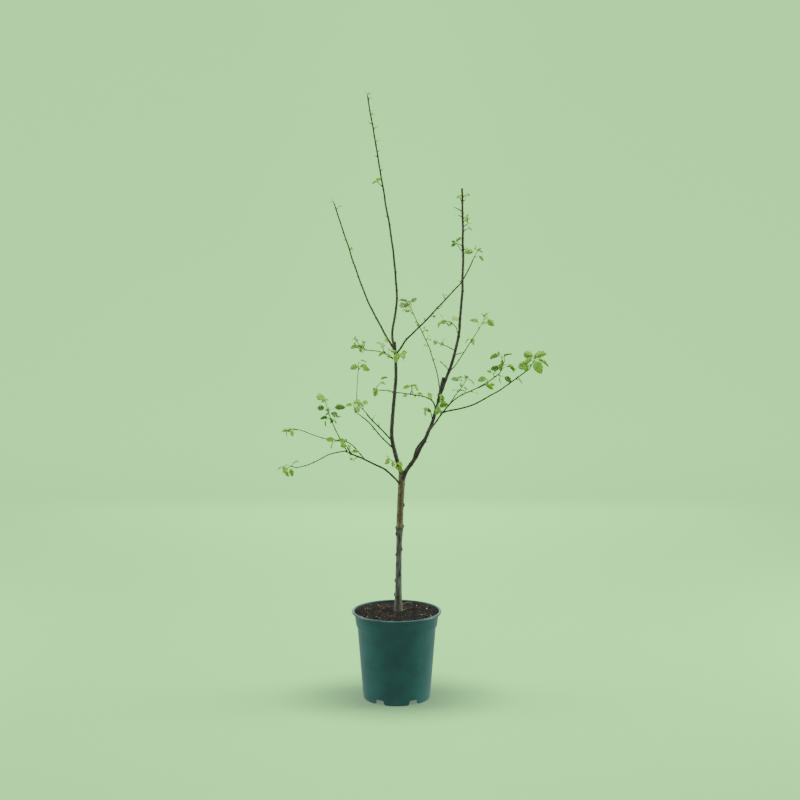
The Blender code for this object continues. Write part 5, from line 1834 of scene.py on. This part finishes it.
# Backdrop paper: matt, pale green, and lit through from behind, most where the lamps don't reach.
# It is a shade darker to the sides, where the lamps stand close, so that it looks even, and has
# a soft pool of painted shadow round the pot.
PAPER, tree, shader, place = new_material("backdrop paper", 0.95)
apart = add(tree, "ShaderNodeSeparateXYZ", values={0: place})
glow = add(tree, "ShaderNodeMapRange", {"interpolation_type": "SMOOTHSTEP"},
           {"Value": apart.outputs[1], "From Min": GLOW_START, "From Max": GLOW_END})
lit = add(tree, "ShaderNodeMix", {"data_type": "RGBA"},
          {0: glow.outputs[0], 6: FLOOR_GLOW, 7: WALL_GLOW})
aside = add(tree, "ShaderNodeMath", {"operation": "ABSOLUTE"}, {0: apart.outputs[0]})
edge = add(tree, "ShaderNodeMapRange",
           values={"Value": aside.outputs[0], "From Min": 0.15, "From Max": 0.9})
paper = add(tree, "ShaderNodeMix", {"data_type": "RGBA"},
            {0: edge.outputs[0], 6: PAPER_GREEN, 7: PAPER_SIDES})
# Painted shadow: the paper's colour is darkened in a soft oval round the pot.
oval = add(tree, "ShaderNodeVectorMath", {"operation": "MULTIPLY"}, {0: place, 1: (0.75, 1.0, 0.0)})
from_pot = add(tree, "ShaderNodeVectorMath", {"operation": "LENGTH"},
               {0: oval.outputs[0]}).outputs["Value"]
shade = add(tree, "ShaderNodeMapRange", {"interpolation_type": "SMOOTHSTEP"},
            {"Value": from_pot, "From Min": 0.06, "From Max": 0.26, "To Min": 0.32})
shaded = add(tree, "ShaderNodeVectorMath", {"operation": "SCALE"},
             {0: paper.outputs[2], "Scale": shade.outputs[0]})
tree.links.new(shaded.outputs[0], shader.inputs["Base Color"])
shader.inputs["Emission Strength"].default_value = 1.0
tree.links.new(lit.outputs[2], shader.inputs["Emission Color"])
backdrop = object_from("backdrop", bm, PAPER)
# The paper's green isn't cast on the plant or mirrored in the pot.
backdrop.visible_diffuse = False
backdrop.visible_glossy = False
backdrop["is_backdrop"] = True

# %% Lights and camera
world = bpy.data.worlds.new("soft studio")
bpy.context.scene.world = world
world.use_nodes = True
world.node_tree.nodes["Background"].inputs["Color"].default_value = linear("#e2eee8")
world.node_tree.nodes["Background"].inputs["Strength"].default_value = 0.6


def soft_light(name, place, target, size, power):
    """A large rectangular light, unseen itself, turned to its target; its power is in watts."""
    light = bpy.data.lights.new(name, "AREA")
    light.shape = "RECTANGLE"
    light.size, light.size_y = size
    light.energy = power
    light.color = linear("#fafffc")[:3]
    lamp = new_object(name, light)
    lamp.location = place
    lamp.rotation_euler = (Vector(target) - Vector(place)).to_track_quat("-Z", "Y").to_euler()
    lamp.visible_camera = False
    return lamp


soft_light("left_softbox", (-2.3, 0.3, 1.0), (0, 0, 0.5), (1.0, 2.2), 50)
soft_light("right_softbox", (2.3, 0.3, 1.0), (0, 0, 0.5), (1.0, 2.2), 76)
soft_light("front_fill", (-1.6, -3.8, 2.8), (0, 0, 0.7), (2.0, 1.4), 40)
soft_light("upper_left_light", (-1.7, 0.3, 3.1), (0, 0, 0.3), (1.0, 1.0), 8)
soft_light("upper_right_light", (1.7, 0.3, 3.1), (0, 0, 0.3), (1.0, 1.0), 8)
soft_light("overhead_light", (0, 0.2, 3.3), (0, 0, 0.3), (1.2, 1.2), 52)
soft_light("back_strip", (0, 2.6, 0.75), (0, 0, 0.25), (2.6, 0.9), 12)

CAMERA_PLACE = (0.0083, -4.0, 1.25)
CAMERA_DOWN_DEG = 7.055
LENS_MM, SENSOR_MM = 73.35, 36.0
camera = bpy.data.cameras.new("camera")
camera.lens = LENS_MM
camera.sensor_width = SENSOR_MM
eye = new_object("camera", camera)
eye.location = CAMERA_PLACE
eye.rotation_euler = (math.radians(90 - CAMERA_DOWN_DEG), 0, 0)
bpy.context.scene.camera = eye

# %% Sizes
sizes = {"cad": [list(corner) for corner in cad_box],
         "visual": [list(corner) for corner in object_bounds()]}
print(sizes)
